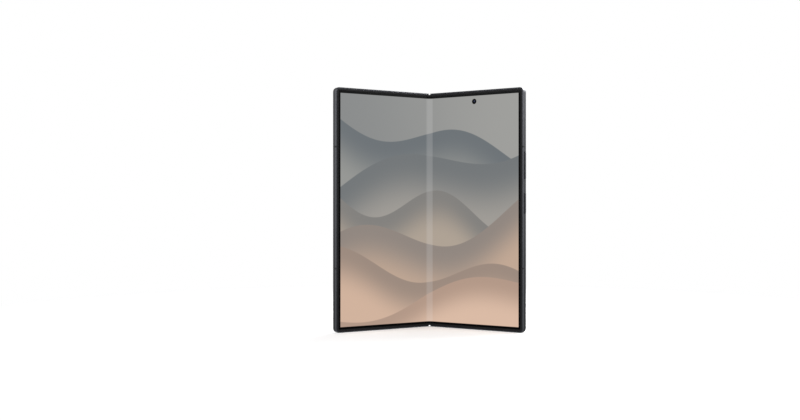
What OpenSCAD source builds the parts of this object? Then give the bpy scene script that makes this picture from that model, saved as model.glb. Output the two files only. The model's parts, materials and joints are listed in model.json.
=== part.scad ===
// Foldable smartphone that opens like a book, standing on its bottom edge and part-way open.
//
// Row frame: +X to the viewer's right, +Y away from the viewer, +Z up along the hinge.
// Each half is drawn flat open first: x runs from the hinge plane to the free edge (u),
// y runs from the inner face to the outer face (depth), z runs up. It is then turned
// about its own hinge axis by the fold at rest.

/* [Body] */
// Height of the phone, along the hinge
body_h = 158.4; // [152:0.2:166]
// Width of one half, from the hinge plane to its free edge
half_w = 71.6; // [69:0.2:75]
// Thickness of one half without the camera island
half_t = 4.2; // [4.1:0.05:4.8]
// Radius of the outer corners
corner_r = 3; // [2.6:0.1:4.5]
// Chamfer along the outer edges of the frame
edge_chamfer = 0.5; // [0.2:0.05:0.7]
// Width of the frame rim seen from the front and from the back
rim_w = 0.9; // [0.85:0.05:1.2]
// Full thickness of the frame wall
wall_t = 1.6; // [1.55:0.05:2]
// Thickness of the rear glass and of the cover glass
glass_t = 0.6; // [0.5:0.05:0.75]
// Running clearance between pieces that seat in each other
fit_gap = 0.05; // [0.02:0.01:0.08]

/* [Inner display] */
// Thickness of the folding display
display_t = 0.4; // [0.3:0.05:0.5]
// Depth of the display face below the front of the frame
display_drop = 0.1; // [0.05:0.01:0.15]
// Distance from the outer edge of the frame to the edge of the display
display_inset = 1.55; // [1.4:0.05:1.7]
// Half width of the stretch that bends at the crease
flex_half = 6; // [5:0.1:7]
// Bend radius of the display face at the crease, at rest
crease_r = 4.5; // [3:0.1:5]
// Width of the raised bezel round the display
bezel_w = 1.2; // [1:0.05:1.6]
// Height of the raised bezel over the front of the frame
bezel_rise = 0.15; // [0.05:0.01:0.2]
// Distance from the hinge plane to the ends of the bezel
bezel_end = 4.2; // [4.15:0.05:6]
// Distance from the hinge plane to the punch-hole camera
hole_u = 35.2; // [30:0.1:40]
// Distance from the top edge to the punch-hole camera
hole_from_top = 7.3; // [6.5:0.1:9]
// Radius of the punch hole
hole_r = 1.8; // [1.5:0.05:2]

/* [Hinge] */
// How far each half is folded from flat, at rest, in degrees
rest_fold = 32; // [10:1:60]
// Depth of the hinge axes behind the front of the frame
axis_depth = 1.15; // [1.1:0.01:1.25]
// Half of the gap between the two frames when closed
closed_half_gap = 0.25; // [0.2:0.01:0.35]
// Thickness of the frame lip that covers the spine when flat
lip_t = 0.4; // [0.3:0.05:0.5]
// Distance from the hinge plane to the edge of the lip
lip_u = 0.15; // [0.1:0.01:0.3]
// Clearance between the spine and the lips
spine_gap = 0.15; // [0.1:0.01:0.2]
// Wall of the spine cover
spine_wall = 0.4; // [0.3:0.05:0.5]
// Distance from the end of the phone to the end of the spine
spine_end = 1; // [0.9:0.05:1.5]
// Wall of the frame over the ends of the spine
end_wall = 0.85; // [0.7:0.01:0.85]
// Distance from the hinge plane to the ends of the frame walls
nose_u = 0.6; // [0.5:0.05:0.9]
// Distance from the hinge plane to the shoulder beside the spine
shoulder_u = 4.1; // [4.05:0.05:4.15]
// Distance from the hinge plane to the rear glass
rail_u = 5; // [4.8:0.05:5.5]
// Width of the ledge under the hinge side of the rear glass
ledge_w = 0.8; // [0.6:0.05:1.2]
// Radius of the hinge shafts
shaft_r = 0.35; // [0.25:0.01:0.4]
// Radius of the knuckles round the shafts
knuckle_r = 0.6; // [0.55:0.01:0.6]
// Length of each arm along the hinge
arm_l = 5; // [4:0.5:7]
// Length of each bracket cheek along the hinge
cheek_l = 2.5; // [2:0.1:3]
// Length of each torque spring stack
spring_l = 8; // [6:0.5:10]
// Thickness of the wing plates under the display
wing_t = 0.15; // [0.1:0.01:0.15]
// Distance from the hinge plane to the wing plates
wing_u = 2.2; // [2.1:0.05:2.6]

/* [Rear cameras] */
// Distance from the free edge to the line of lenses
lens_from_edge = 17.6; // [15:0.1:22]
// Distance from the top edge to the first lens
lens_from_top = 15.4; // [14:0.1:18]
// Distance between lenses
lens_pitch = 16.25; // [15.2:0.05:18]
// Width of the camera island
island_w = 19.6; // [17:0.1:22]
// Height of the camera island above the rear glass
island_t = 1.2; // [0.8:0.05:2]
// Outer radius of the lens rings
ring_r = 7.4; // [7:0.05:7.5]
// Radius of the lens glasses
lens_r = 6.7; // [6.3:0.05:6.7]
// Height of the lens rings above the island
ring_t = 1.8; // [1.2:0.05:2.2]
// Radius of the camera barrels
barrel_r = 4.5; // [4:0.05:5]
// Side of the camera bodies
camera_side = 11; // [10.5:0.1:13]
// Distance from the free edge to the flash
flash_from_edge = 32; // [30:0.1:36]
// Distance from the top edge to the flash
flash_from_top = 24.4; // [20:0.1:30]
// Radius of the flash window
flash_r = 1.6; // [1.2:0.05:2]

/* [Keys] */
// Height of the middle of the side key above the bottom edge
side_key_z = 83.6; // [78:0.1:86]
// Length of the side key
side_key_l = 13.6; // [12:0.1:15]
// Height of the middle of the volume key above the bottom edge
volume_key_z = 107.9; // [104:0.1:108]
// Length of the volume key
volume_key_l = 18; // [16:0.1:20]
// Width of the keys across the edge of the phone
key_w = 2; // [1.8:0.05:2.2]
// How far the keys stand out of the frame
key_rise = 0.35; // [0.3:0.01:0.45]

/* [Ports] */
// Distance from the free edge to the middle of the charging socket
usb_from_edge = 35.6; // [33:0.1:38]
// Width of the charging socket's opening
usb_w = 8.34; // [8.2:0.01:8.4]
// Height of the charging socket's opening
usb_h = 2.56; // [2.5:0.01:2.6]
// Sheet thickness of the charging socket
usb_wall = 0.15; // [0.1:0.01:0.15]
// Depth of the charging socket
usb_depth = 7.3; // [6.5:0.1:8]
// Distance from the hinge plane to the middle of the card tray
tray_u = 24; // [20:0.1:32]
// Width of the card tray
tray_w = 13.6; // [13.2:0.1:15]
// Length of the card tray inside the phone
tray_l = 18; // [16:0.1:20]
// Thickness of the card tray
tray_t = 0.9; // [0.8:0.05:1]

/* [Antenna bands] */
// Height of the lower band on the free edges
band_low_z = 41.5; // [30:0.1:60]
// Height of the upper band on the free edges
band_high_z = 120; // [119:0.1:130]
// Distance from the hinge plane to the bands on the top and bottom edges
band_u = 13; // [9:0.1:15]
// Width of the bands
band_w = 1.1; // [0.8:0.05:1.4]
// Depth of the bands in the frame
band_t = 0.8; // [0.6:0.05:0.8]

/* [Inside] */
// Thickness of the support plates behind the display
plate_t = 0.6; // [0.5:0.05:0.7]
// Distance from the hinge plane to the support plates
plate_u = 9.6; // [9.5:0.05:10.5]
// Distance from the hinge plane to the boards and batteries
parts_u = 10.8; // [10:0.1:12]
// Distance from the batteries to the frame wall at the free edge
battery_side_gap = 5.2; // [2:0.1:8]
// Distance from the batteries to the boards above and below them
battery_end_gap = 2; // [1:0.1:4]
// Height of the lower board in the camera half, from the bottom edge
low_board_top = 22; // [20:0.5:24]
// Height of the bottom of the other half's battery above the bottom edge
left_battery_z0 = 12; // [8:0.5:24]
// Height of the board in the cover-display half
left_board_h = 36.2; // [32:0.1:40]
// Thickness of the circuit boards
board_t = 0.5; // [0.4:0.05:0.6]
// Height of the shield cans over the boards
shield_t = 1.1; // [0.8:0.05:1.2]
// Outer radius of the charging coil
coil_r = 22; // [18:0.5:25]
// Inner radius of the charging coil
coil_hole_r = 10; // [8:0.5:14]
// Thickness of the charging coil
coil_t = 0.15; // [0.1:0.01:0.2]
// Height of the large shield can
large_can_h = 31; // [28:0.5:32]
// Distance from the top of the bay to the small shield can
small_can_drop = 6; // [5.5:0.5:8]
// Half side of the two small cameras
small_camera_half = 3.2; // [2.8:0.1:3.4]
// Length of the bottom speaker
speaker_l = 15; // [13:0.5:16]
// Distance from the middle of the socket to the bottom speaker
speaker_shift = 11; // [10.5:0.1:12]
// Length of the earpiece
earpiece_l = 13; // [12:0.5:15]
// Height of the earpiece
earpiece_h = 7; // [6:0.5:9]
// Width of the vibration motor
motor_w = 9; // [8:0.5:10]
// Height of the vibration motor
motor_h = 15; // [12:0.5:16]
// Distance from the vibration motor to the lower board
motor_gap = 3.2; // [0.5:0.1:4]
// Distance from the ends of the phone to the hinge modules
hinge_from_end = 14; // [10:0.5:18]
// Radius of the sound holes
sound_hole_r = 0.45; // [0.3:0.05:0.5]
// Distance between sound holes
sound_pitch = 1.9; // [1.6:0.1:2]
// Radius of the microphone holes
mic_r = 0.35; // [0.25:0.05:0.45]
// Radius of the screw heads
screw_head_r = 1.1; // [0.9:0.05:1.2]

/* [Hidden] */
$fn = 64;

// Hinge geometry: with the axis this far out, the two frames close on their gap.
axis_x = axis_depth + closed_half_gap;
lip_depth = half_t - lip_t;
spine_r = lip_depth - axis_depth - spine_gap;
spine_inner_r = spine_r - spine_wall;
// The spine cover starts above the arms, which lie lowest when the phone is flat.
arm_half = 0.45;
spine_front = axis_depth + arm_half + 0.2;
shoulder_depth = axis_depth + arm_half + 0.15;
arm_end = plate_u - 0.2;
cap_l = 1.2;

// Depths inside a half, from the front of the frame
display_back = display_drop + display_t;
plate_back = display_back + plate_t;
glass_front = half_t - glass_t;
bay_front = plate_back + fit_gap;
board_back = bay_front + board_t;
part_back = glass_front - coil_t - 2 * fit_gap;

// The inside of the frame
bay_u1 = half_w - wall_t;
bay_z0 = wall_t;
bay_z1 = body_h - wall_t;

// The row's origin is under the middle of its box at rest, so the whole model is shifted in Y.
front_y = axis_depth - (half_w - edge_chamfer - axis_x) * sin(rest_fold)
    - axis_depth * cos(rest_fold);
back_y = axis_depth + (axis_x - lip_u) * sin(rest_fold)
    + (half_t - axis_depth) * cos(rest_fold);
y_shift = -(front_y + back_y) / 2;

// Places that several pieces share
board_edge_gap = 0.6;
camera_room = 0.4;
hole_z = body_h - hole_from_top;
lens_u = half_w - lens_from_edge;
lens_z = [for (i = [0:2]) body_h - lens_from_top - i * lens_pitch];
flash_u = half_w - flash_from_edge;
flash_z = body_h - flash_from_top;
usb_u = half_w - usb_from_edge;
usb_mid = half_t / 2;
key_mid = half_t / 2 + 0.15;
key_flange_t = 0.3;
key_room = 0.35;
island_chamfer = 0.35;
ring_front = half_t + island_t;
ring_seat_t = 0.6;
cover_panel_t = 0.3;
left_back = glass_front - cover_panel_t - fit_gap;
cover_hole_z = body_h - 7;
cover_camera_u = (rail_u + half_w - rim_w) / 2;
ear_u0 = cover_camera_u + small_camera_half + 0.6;
board_u1 = lens_u - camera_side / 2 - 0.5;
board_z0 = lens_z[2] - camera_side / 2;
battery_u1 = bay_u1 - battery_side_gap;
right_battery_z0 = low_board_top + battery_end_gap;
right_battery_z1 = board_z0 - battery_end_gap;
left_board_z0 = bay_z1 - board_edge_gap - left_board_h;
left_battery_z1 = left_board_z0 - battery_end_gap;
module_gap = 0.1;
arm_z = cheek_l + module_gap;
middle_cheek_z = arm_z + arm_l + module_gap;
spring_z = middle_cheek_z + cheek_l + module_gap;
last_cheek_z = spring_z + spring_l + module_gap;
module_l = last_cheek_z + cheek_l;
hinge_stations = [
    hinge_from_end, (body_h - module_l) / 2, body_h - hinge_from_end - module_l
];

// Ribbon cables, one in each stretch between two hinge modules
cable_t = 0.12;
cable_w = 12;
cable_z = (hinge_stations[0] + module_l + hinge_stations[1] - cable_w) / 2;
cable_places = [cable_z, body_h - cable_z - cable_w];

// Card tray
tray_step = 0.5;
tray_sheet = 0.15;
tray_gap = 0.1;
tray_door = 1.9;
tray_mid = board_back + tray_sheet + tray_gap + tray_t / 2;

// Screws
screw_r = 0.45;
screw_head_t = 0.35;
arm_screw_u = rail_u + 0.2;
arm_screw_front = display_back + wing_t + 0.02;
arm_screw_l = 2.2;
board_screw_l = 0.6;
right_board_screws = [[parts_u + 2, body_h - 5], [board_u1 - 2, board_z0 + 5]];
left_board_screws = [[parts_u + 2, left_board_z0 + 3], [bay_u1 - 8, left_board_z0 + 3]];

frame_colour = [0.24, 0.25, 0.28];
glass_colour = [0.31, 0.31, 0.34];
black = [0.09, 0.09, 0.10];
steel = [0.62, 0.63, 0.65];

// ---- Placing ----

// From the flat right half to its place at rest
module at_right() {
    translate([axis_x, axis_depth + y_shift, 0]) rotate([0, 0, -rest_fold])
        translate([-axis_x, -axis_depth, 0]) children();
}

module at_left() {
    mirror([1, 0, 0]) at_right() children();
}

module at_spine() {
    translate([0, y_shift, 0]) children();
}

// ---- Shared shapes ----

// Extrudes a shape drawn in u and z between two depths
module slab(d0, d1) {
    translate([0, d1, 0]) rotate([90, 0, 0]) linear_extrude(d1 - d0) children();
}

// A box given by its lowest and highest corners
module block(low, high) {
    translate(low) cube(high - low);
}

// Cylinder along the depth, centred on u and z
module post(u, z, r, d0, d1) {
    translate([u, d1, z]) rotate([90, 0, 0]) cylinder(h = d1 - d0, r = r);
}

// Outline of a half in u and z, set in from the outer edge, with two rounded free corners
module half_outline(near, inset) {
    r = corner_r - inset;
    u1 = half_w - inset;
    translate([near, inset]) square([u1 - r - near, body_h - 2 * inset]);
    translate([near, inset + r]) square([u1 - near, body_h - 2 * (inset + r)]);
    for (z = [inset + r, body_h - inset - r]) translate([u1 - r, z]) circle(r);
}

module round_rect(size, r) {
    translate([-size.x / 2 + r, -size.y / 2]) square([size.x - 2 * r, size.y]);
    translate([-size.x / 2, -size.y / 2 + r]) square([size.x, size.y - 2 * r]);
    for (x = [-1, 1], y = [-1, 1])
        translate([x * (size.x / 2 - r), y * (size.y / 2 - r)]) circle(r);
}

// Slot with round ends, longer in x than in y
module stadium(size) {
    reach = (size.x - size.y) / 2;
    translate([-reach, -size.y / 2]) square([2 * reach, size.y]);
    for (x = [-reach, reach]) translate([x, 0]) circle(size.y / 2);
}

// Carries a profile round the bottom edge and its corner: x is the distance in from the
// outer edge, y is the depth
module bottom_sweep(near) {
    translate([near, 0, 0]) rotate([90, 0, 90]) linear_extrude(half_w - corner_r - near)
        mirror([1, -1]) children();
    translate([half_w - corner_r, 0, corner_r]) rotate([-90, 0, 0])
        rotate_extrude(angle = 90) translate([corner_r, 0]) mirror([1, 0]) children();
}

// Carries a profile round the three outer edges of a half
module edge_sweep(near) {
    translate([half_w, 0, corner_r]) mirror([1, 0, 0])
        linear_extrude(body_h - 2 * corner_r) children();
    bottom_sweep(near) children();
    translate([0, 0, body_h]) mirror([0, 0, 1]) bottom_sweep(near) children();
}

// ---- Frames ----

// Wall with chamfered edges, a step for the display and bezel, and a step for the rear glass
module frame_profile() {
    polygon([
        [edge_chamfer, 0], [0, edge_chamfer], [0, half_t - edge_chamfer],
        [edge_chamfer, half_t], [rim_w, half_t], [rim_w, glass_front],
        [wall_t, glass_front], [wall_t, display_back], [rim_w, display_back], [rim_w, 0]
    ]);
}

module band_profile() {
    polygon([
        [edge_chamfer, 0], [0, edge_chamfer], [0, half_t - edge_chamfer],
        [edge_chamfer, half_t], [band_t, half_t], [band_t, 0]
    ]);
}

// Boxes that cut the bands out of the swept edge
module band_places() {
    for (z = [band_low_z, band_high_z])
        translate([half_w - 2 * band_t, -1, z - band_w / 2]) cube([3 * band_t, half_t + 2, band_w]);
    for (z = [-band_t, body_h - 2 * band_t])
        translate([band_u - band_w / 2, -1, z]) cube([band_w, half_t + 2, 3 * band_t]);
}

module antenna_bands() {
    intersection() {
        edge_sweep(lip_u) band_profile();
        band_places();
    }
}

// Lip over the spine, and the shoulder that the hinge arms are screwed to
module hinge_rail() {
    overlap = 0.3;
    block([lip_u, lip_depth, rim_w - overlap], [rail_u, half_t, body_h - rim_w + overlap]);
    block([shoulder_u, shoulder_depth, wall_t - overlap],
        [rail_u, lip_depth, body_h - wall_t + overlap]);
    block([rail_u, shoulder_depth, wall_t - overlap],
        [rail_u + ledge_w, glass_front, body_h - wall_t + overlap]);
}

// Room for the spine, open towards the other half
module spine_room() {
    block([-1, -1, end_wall], [shoulder_u, lip_depth, body_h - end_wall]);
}

// The frame walls end in a quarter round, so that they pass each other as the halves turn
module nose_cut() {
    translate([0, 0, -1]) linear_extrude(body_h + 2) {
        translate([-1, -1]) square([nose_u + 1, lip_depth + 1]);
        difference() {
            translate([-1, -1]) square([nose_u + axis_depth + 1, axis_depth + 1]);
            translate([nose_u + axis_depth, axis_depth]) circle(axis_depth);
        }
    }
}

module plain_frame() {
    difference() {
        union() {
            edge_sweep(lip_u) frame_profile();
            hinge_rail();
        }
        spine_room();
        nose_cut();
        antenna_bands();
        arm_screw_holes();
    }
}

// Opening for a key through the free edge
module key_slot(z, l, gap) {
    translate([half_w - 2 * wall_t, key_mid, z]) rotate([0, 90, 0])
        linear_extrude(3 * wall_t) stadium([l + 2 * gap, key_w + 2 * gap]);
}

// Row of sound holes through the bottom edge
module sound_holes(u0, count, pitch, r) {
    for (i = [0:count - 1]) translate([u0 + i * pitch, half_t / 2, -1]) cylinder(h = 4, r = r);
}

module right_frame() {
    color(frame_colour) at_right() difference() {
        plain_frame();
        key_slot(volume_key_z, volume_key_l, fit_gap);
        key_slot(side_key_z, side_key_l, fit_gap);
        translate([usb_u, usb_mid, -1]) linear_extrude(wall_t + 2)
            usb_outline(usb_wall + fit_gap);
        sound_holes(usb_u + speaker_shift + 2.75, 6, sound_pitch, sound_hole_r);
        sound_holes(usb_u - 10, 1, 1, mic_r);
        translate([0, 0, body_h - 3]) sound_holes(usb_u + 16, 1, 1, mic_r);
    }
}

module left_frame() {
    color(frame_colour) at_left() difference() {
        plain_frame();
        translate([0, 0, body_h - 3]) sound_holes(ear_u0 + 1.7, 6, sound_pitch, sound_hole_r);
        translate([0, 0, body_h - 3]) sound_holes(tray_u + tray_w / 2 + 2.4, 1, 1, mic_r);
        translate([tray_u, tray_mid, body_h - wall_t - 1]) linear_extrude(wall_t + 2)
            stadium([tray_w + 2 * fit_gap, tray_door + 2 * fit_gap]);
    }
}

module right_antenna_bands() {
    color([0.19, 0.20, 0.22]) at_right() antenna_bands();
}

module left_antenna_bands() {
    color([0.19, 0.20, 0.22]) at_left() antenna_bands();
}

// ---- Bezels, display and plates ----

// Glued strip that stands a little proud and covers the edge of the display
module bezel_profile() {
    r0 = rim_w + 0.03;
    r1 = rim_w + bezel_w;
    bevel = 0.15;
    over = display_drop - 0.02;
    polygon([
        [r0, display_back], [r0, 0], [r0 + bevel, -bezel_rise], [r1 - bevel, -bezel_rise],
        [r1, 0], [r1, over], [display_inset - fit_gap, over],
        [display_inset - fit_gap, display_back]
    ]);
}

module right_bezel() {
    color(black) at_right() edge_sweep(bezel_end) bezel_profile();
}

module left_bezel() {
    color(black) at_left() edge_sweep(bezel_end) bezel_profile();
}

module right_display() {
    color([0.72, 0.63, 0.57]) at_right() difference() {
        slab(display_drop, display_back) half_outline(flex_half + fit_gap, display_inset);
        post(hole_u, hole_z, hole_r, -1, 1);
    }
}

module left_display() {
    color([0.6, 0.59, 0.58]) at_left()
        slab(display_drop, display_back) half_outline(flex_half + fit_gap, display_inset);
}

// The stretch at the crease: an arc between two flat strips, drawn as one bent section
module display_fold() {
    t = display_t - 0.02;
    steps = 16;
    y = display_drop - axis_depth;
    centre_y = axis_depth + axis_x * tan(rest_fold) + (y - crease_r) / cos(rest_fold);
    arc = [for (i = [0:steps]) 90 - rest_fold + 2 * rest_fold * i / steps];
    face = concat(
        [turned(flex_half, display_drop)],
        [for (w = arc) [crease_r * cos(w), centre_y + crease_r * sin(w)]],
        [flipped(turned(flex_half, display_drop))]
    );
    back = concat(
        [flipped(turned(flex_half, display_drop + t))],
        [for (w = [for (i = [steps:-1:0]) arc[i]])
            [(crease_r + t) * cos(w), centre_y + (crease_r + t) * sin(w)]],
        [turned(flex_half, display_drop + t)]
    );
    color([0.68, 0.63, 0.59]) at_spine() translate([0, 0, display_inset])
        linear_extrude(body_h - 2 * display_inset) polygon(concat(face, back));
}

// Where a point of the flat right half lies at rest, before the shift in Y
function turned(u, depth) = [
    axis_x + (u - axis_x) * cos(rest_fold) + (depth - axis_depth) * sin(rest_fold),
    axis_depth - (u - axis_x) * sin(rest_fold) + (depth - axis_depth) * cos(rest_fold)
];

function flipped(p) = [-p.x, p.y];

module support_plate() {
    slab(display_back, plate_back) half_outline(plate_u, wall_t + fit_gap);
}

module right_support_plate() {
    color(steel) at_right() difference() {
        support_plate();
        post(hole_u, hole_z, hole_r, 0, 2);
        block([usb_u - usb_w, 0, 0], [usb_u + usb_w, 2, usb_depth + 1]);
        board_screw_holes(right_board_screws);
    }
}

module left_support_plate() {
    color(steel) at_left() difference() {
        support_plate();
        board_screw_holes(left_board_screws);
    }
}

module wing_plate() {
    color(steel) block([wing_u, display_back, wall_t + 0.2],
        [plate_u - fit_gap, display_back + wing_t, body_h - wall_t - 0.2]);
}

module right_wing_plate() {
    at_right() wing_plate();
}

module left_wing_plate() {
    at_left() wing_plate();
}

// ---- Rear of the camera half ----

module rear_glass_slab() {
    slab(glass_front, half_t) half_outline(rail_u + fit_gap, rim_w + fit_gap);
}

module rear_cover() {
    color(glass_colour) at_right() difference() {
        rear_glass_slab();
        for (z = lens_z) post(lens_u, z, barrel_r + 0.2, 0, 2 * half_t);
        post(flash_u, flash_z, flash_r + fit_gap, 0, 2 * half_t);
    }
}

// Long raised plate with round ends and a chamfered top edge
module camera_island() {
    r = island_w / 2;
    c = island_chamfer;
    color([0.22, 0.22, 0.25]) at_right() difference() {
        translate([lens_u, half_t, lens_z[2]]) {
            linear_extrude(2 * lens_pitch) polygon([
                [-r, 0], [r, 0], [r, island_t - c], [r - c, island_t],
                [c - r, island_t], [-r, island_t - c]
            ]);
            for (z = [0, 2 * lens_pitch]) translate([0, 0, z]) rotate([-90, 0, 0])
                rotate_extrude() polygon([
                    [0, 0], [r, 0], [r, island_t - c], [r - c, island_t], [0, island_t]
                ]);
        }
        for (z = lens_z) post(lens_u, z, barrel_r + 0.2, 0, 3 * half_t);
    }
}

// Metal ring with a bevelled top and a seat for its glass
module lens_ring(i) {
    c = 0.4;
    color([0.3, 0.31, 0.34]) at_right()
        translate([lens_u, ring_front, lens_z[i]]) rotate([-90, 0, 0])
            rotate_extrude() polygon([
                [barrel_r + 0.2, 0], [ring_r, 0], [ring_r, ring_t - c], [ring_r - c, ring_t],
                [lens_r, ring_t], [lens_r, ring_seat_t], [barrel_r + 0.2, ring_seat_t]
            ]);
}

module lens_glass(i) {
    glass = 0.8;
    color([0.05, 0.05, 0.07]) at_right()
        post(lens_u, lens_z[i], lens_r - fit_gap,
            ring_front + ring_seat_t + fit_gap, ring_front + ring_seat_t + fit_gap + glass);
}

// Square body in the phone and a round barrel with a stepped cone down to its front lens
module camera_module(i) {
    barrel_back = ring_front + ring_seat_t - fit_gap;
    cone_l = 1.6;
    lens_front_r = 1.9;
    half_side = camera_side / 2;
    color(black) at_right() difference() {
        union() {
            block([lens_u - half_side, bay_front, lens_z[i] - half_side],
                [lens_u + half_side, glass_front - fit_gap, lens_z[i] + half_side]);
            post(lens_u, lens_z[i], barrel_r, glass_front - 0.5, barrel_back);
        }
        translate([lens_u, barrel_back - cone_l, lens_z[i]]) rotate([-90, 0, 0])
            cylinder(h = cone_l, r1 = lens_front_r, r2 = barrel_r - 0.4);
    }
}

// Light source on the board and its window in the rear glass
module flash_window() {
    color("white") at_right() {
        post(flash_u, flash_z, flash_r, glass_front - 0.4, half_t + 0.05);
        block([flash_u - flash_r, board_back, flash_z - flash_r],
            [flash_u + flash_r, glass_front - 0.4, flash_z + flash_r]);
    }
}

// Camera that looks through the hole in the inner display
module inner_camera() {
    side = small_camera_half;
    color(black) at_right() {
        post(hole_u, hole_z, hole_r - 0.2, display_drop + 0.05, bay_front + 0.3);
        block([hole_u - side, bay_front, hole_z - side],
            [hole_u + side, part_back, hole_z + side]);
    }
}

// ---- Inside the camera half ----

// Cut-out that a board leaves for a small camera, open at its top edge
module small_camera_room(u, z) {
    half = small_camera_half + camera_room;
    block([u - half, 0, z - half], [u + half, half_t, body_h]);
}

module mainboard() {
    color([0.1, 0.22, 0.16]) at_right() difference() {
        block([parts_u, bay_front, board_z0], [board_u1, board_back, bay_z1 - board_edge_gap]);
        small_camera_room(hole_u, hole_z);
        board_screw_holes(right_board_screws);
    }
}

module shield_can_large() {
    color(steel) at_right()
        block([parts_u + 1, board_back, board_z0 + 1],
            [flash_u - flash_r - 1, board_back + shield_t, board_z0 + 1 + large_can_h]);
}

module shield_can_small() {
    color(steel) at_right()
        block([parts_u + 1, board_back, board_z0 + 2 + large_can_h],
            [hole_u - small_camera_half - 1.8, board_back + shield_t, bay_z1 - small_can_drop]);
}

module right_battery() {
    color([0.14, 0.14, 0.15]) at_right()
        block([parts_u, bay_front, right_battery_z0], [battery_u1, part_back, right_battery_z1]);
}

// Flat coil on its shield sheet, between the battery and the rear glass
module charging_coil() {
    coil_u = (parts_u + battery_u1) / 2;
    coil_z = (right_battery_z0 + right_battery_z1) / 2;
    color([0.6, 0.35, 0.2]) at_right() difference() {
        post(coil_u, coil_z, coil_r, part_back, part_back + coil_t);
        post(coil_u, coil_z, coil_hole_r, 0, half_t);
    }
}

module charging_board() {
    color([0.1, 0.22, 0.16]) at_right() difference() {
        block([parts_u + motor_w + motor_gap, bay_front, bay_z0 + 0.4],
            [usb_u + speaker_shift - 1, board_back, low_board_top]);
        block([usb_u - usb_w / 2 - 1, 0, 0], [usb_u + usb_w / 2 + 1, half_t, usb_depth + 0.5]);
    }
}

// Opening of the socket, grown by a margin
module usb_outline(grow) {
    round_rect([usb_w + 2 * grow, usb_h + 2 * grow], usb_h / 2 - 0.1);
}

// Sheet-metal socket with its contact tongue
module usb_socket() {
    floor_t = 0.5;
    tongue_w = 6.7;
    tongue_t = 0.7;
    tongue_z = 1.2;
    color(steel) at_right() translate([usb_u, usb_mid, 0.3]) {
        difference() {
            linear_extrude(usb_depth) usb_outline(usb_wall);
            translate([0, 0, -1]) linear_extrude(usb_depth - floor_t + 1) usb_outline(0);
        }
        translate([-tongue_w / 2, -tongue_t / 2, tongue_z])
            cube([tongue_w, tongue_t, usb_depth - tongue_z - floor_t / 2]);
    }
}

module bottom_speaker() {
    color(black) at_right()
        block([usb_u + speaker_shift, bay_front, bay_z0 + 0.3],
            [usb_u + speaker_shift + speaker_l, part_back, low_board_top]);
}

module vibration_motor() {
    color(steel) at_right()
        block([parts_u, bay_front, bay_z0 + 3], [parts_u + motor_w, part_back, bay_z0 + 3 + motor_h]);
}

// Strip with a dome under each key, inside the free edge
module key_switches() {
    u1 = bay_u1 - key_flange_t - key_room - fit_gap;
    dome_shift = volume_key_l / 2 - 4;
    color([0.75, 0.55, 0.2]) at_right() {
        block([u1 - 0.6, key_mid - 1, side_key_z - side_key_l / 2],
            [u1 - 0.3, key_mid + 1, volume_key_z + volume_key_l / 2]);
        for (z = [side_key_z, volume_key_z - dome_shift, volume_key_z + dome_shift])
            translate([u1 - 0.35, key_mid, z]) rotate([0, 90, 0]) cylinder(h = 0.35, r = 0.9);
    }
}

// Key cap through the frame, and the flange that keeps it in
module edge_key(z, l) {
    color([0.28, 0.29, 0.32]) at_right() {
        translate([bay_u1 - fit_gap, key_mid, z]) rotate([0, 90, 0])
            linear_extrude(wall_t + fit_gap + key_rise) stadium([l, key_w]);
        block([bay_u1 - key_flange_t - fit_gap, key_mid - key_w / 2 + 0.1, z - l / 2 - 0.8],
            [bay_u1 - fit_gap, key_mid + key_w / 2 - 0.1, z + l / 2 + 0.8]);
    }
}

module volume_key() {
    edge_key(volume_key_z, volume_key_l);
}

module side_key() {
    edge_key(side_key_z, side_key_l);
}

// ---- Screws ----

// Screws from the front through the feet of the arms into the shoulder of the frame
module arm_screws() {
    for (z = hinge_stations) {
        place = [arm_screw_u, z + arm_z + arm_l / 2];
        post(place.x, place.y, screw_head_r - 0.2, arm_screw_front,
            arm_screw_front + screw_head_t);
        post(place.x, place.y, screw_r, arm_screw_front + screw_head_t,
            arm_screw_front + screw_head_t + arm_screw_l);
    }
}

// Holes for them, in the arms and in the shoulder
module arm_screw_holes() {
    for (z = hinge_stations) {
        place = [arm_screw_u, z + arm_z + arm_l / 2];
        post(place.x, place.y, screw_head_r - 0.2 + fit_gap / 2, 0,
            arm_screw_front + screw_head_t + fit_gap / 2);
        post(place.x, place.y, screw_r + fit_gap / 2, 0,
            arm_screw_front + screw_head_t + arm_screw_l + fit_gap);
    }
}

// Screws from the back through a board into the support plate
module board_screws(places) {
    for (place = places) {
        post(place.x, place.y, screw_head_r, board_back, board_back + screw_head_t);
        post(place.x, place.y, screw_r, plate_back - board_screw_l + 0.1, board_back);
    }
}

module board_screw_holes(places) {
    for (place = places) post(place.x, place.y, screw_r + fit_gap / 2, 0, half_t);
}

module right_screws() {
    color(steel) at_right() {
        arm_screws();
        board_screws(right_board_screws);
    }
}

module left_screws() {
    color(steel) at_left() {
        arm_screws();
        board_screws(left_board_screws);
    }
}

// ---- Cover-display half ----

module cover_glass() {
    color([0.06, 0.06, 0.07]) at_left() rear_glass_slab();
}

module cover_display() {
    color([0.03, 0.03, 0.04]) at_left() difference() {
        slab(glass_front - cover_panel_t, glass_front)
            half_outline(rail_u + ledge_w + 0.3, wall_t + 0.3);
        post(cover_camera_u, cover_hole_z, 2, 0, half_t);
    }
}

module cover_camera() {
    side = small_camera_half;
    color(black) at_left() {
        post(cover_camera_u, cover_hole_z, 1.8, left_back - 0.3, glass_front - fit_gap);
        block([cover_camera_u - side, bay_front, cover_hole_z - side],
            [cover_camera_u + side, left_back, cover_hole_z + side]);
    }
}

module left_battery() {
    color([0.14, 0.14, 0.15]) at_left()
        block([parts_u, bay_front, left_battery_z0], [battery_u1, left_back, left_battery_z1]);
}

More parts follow.
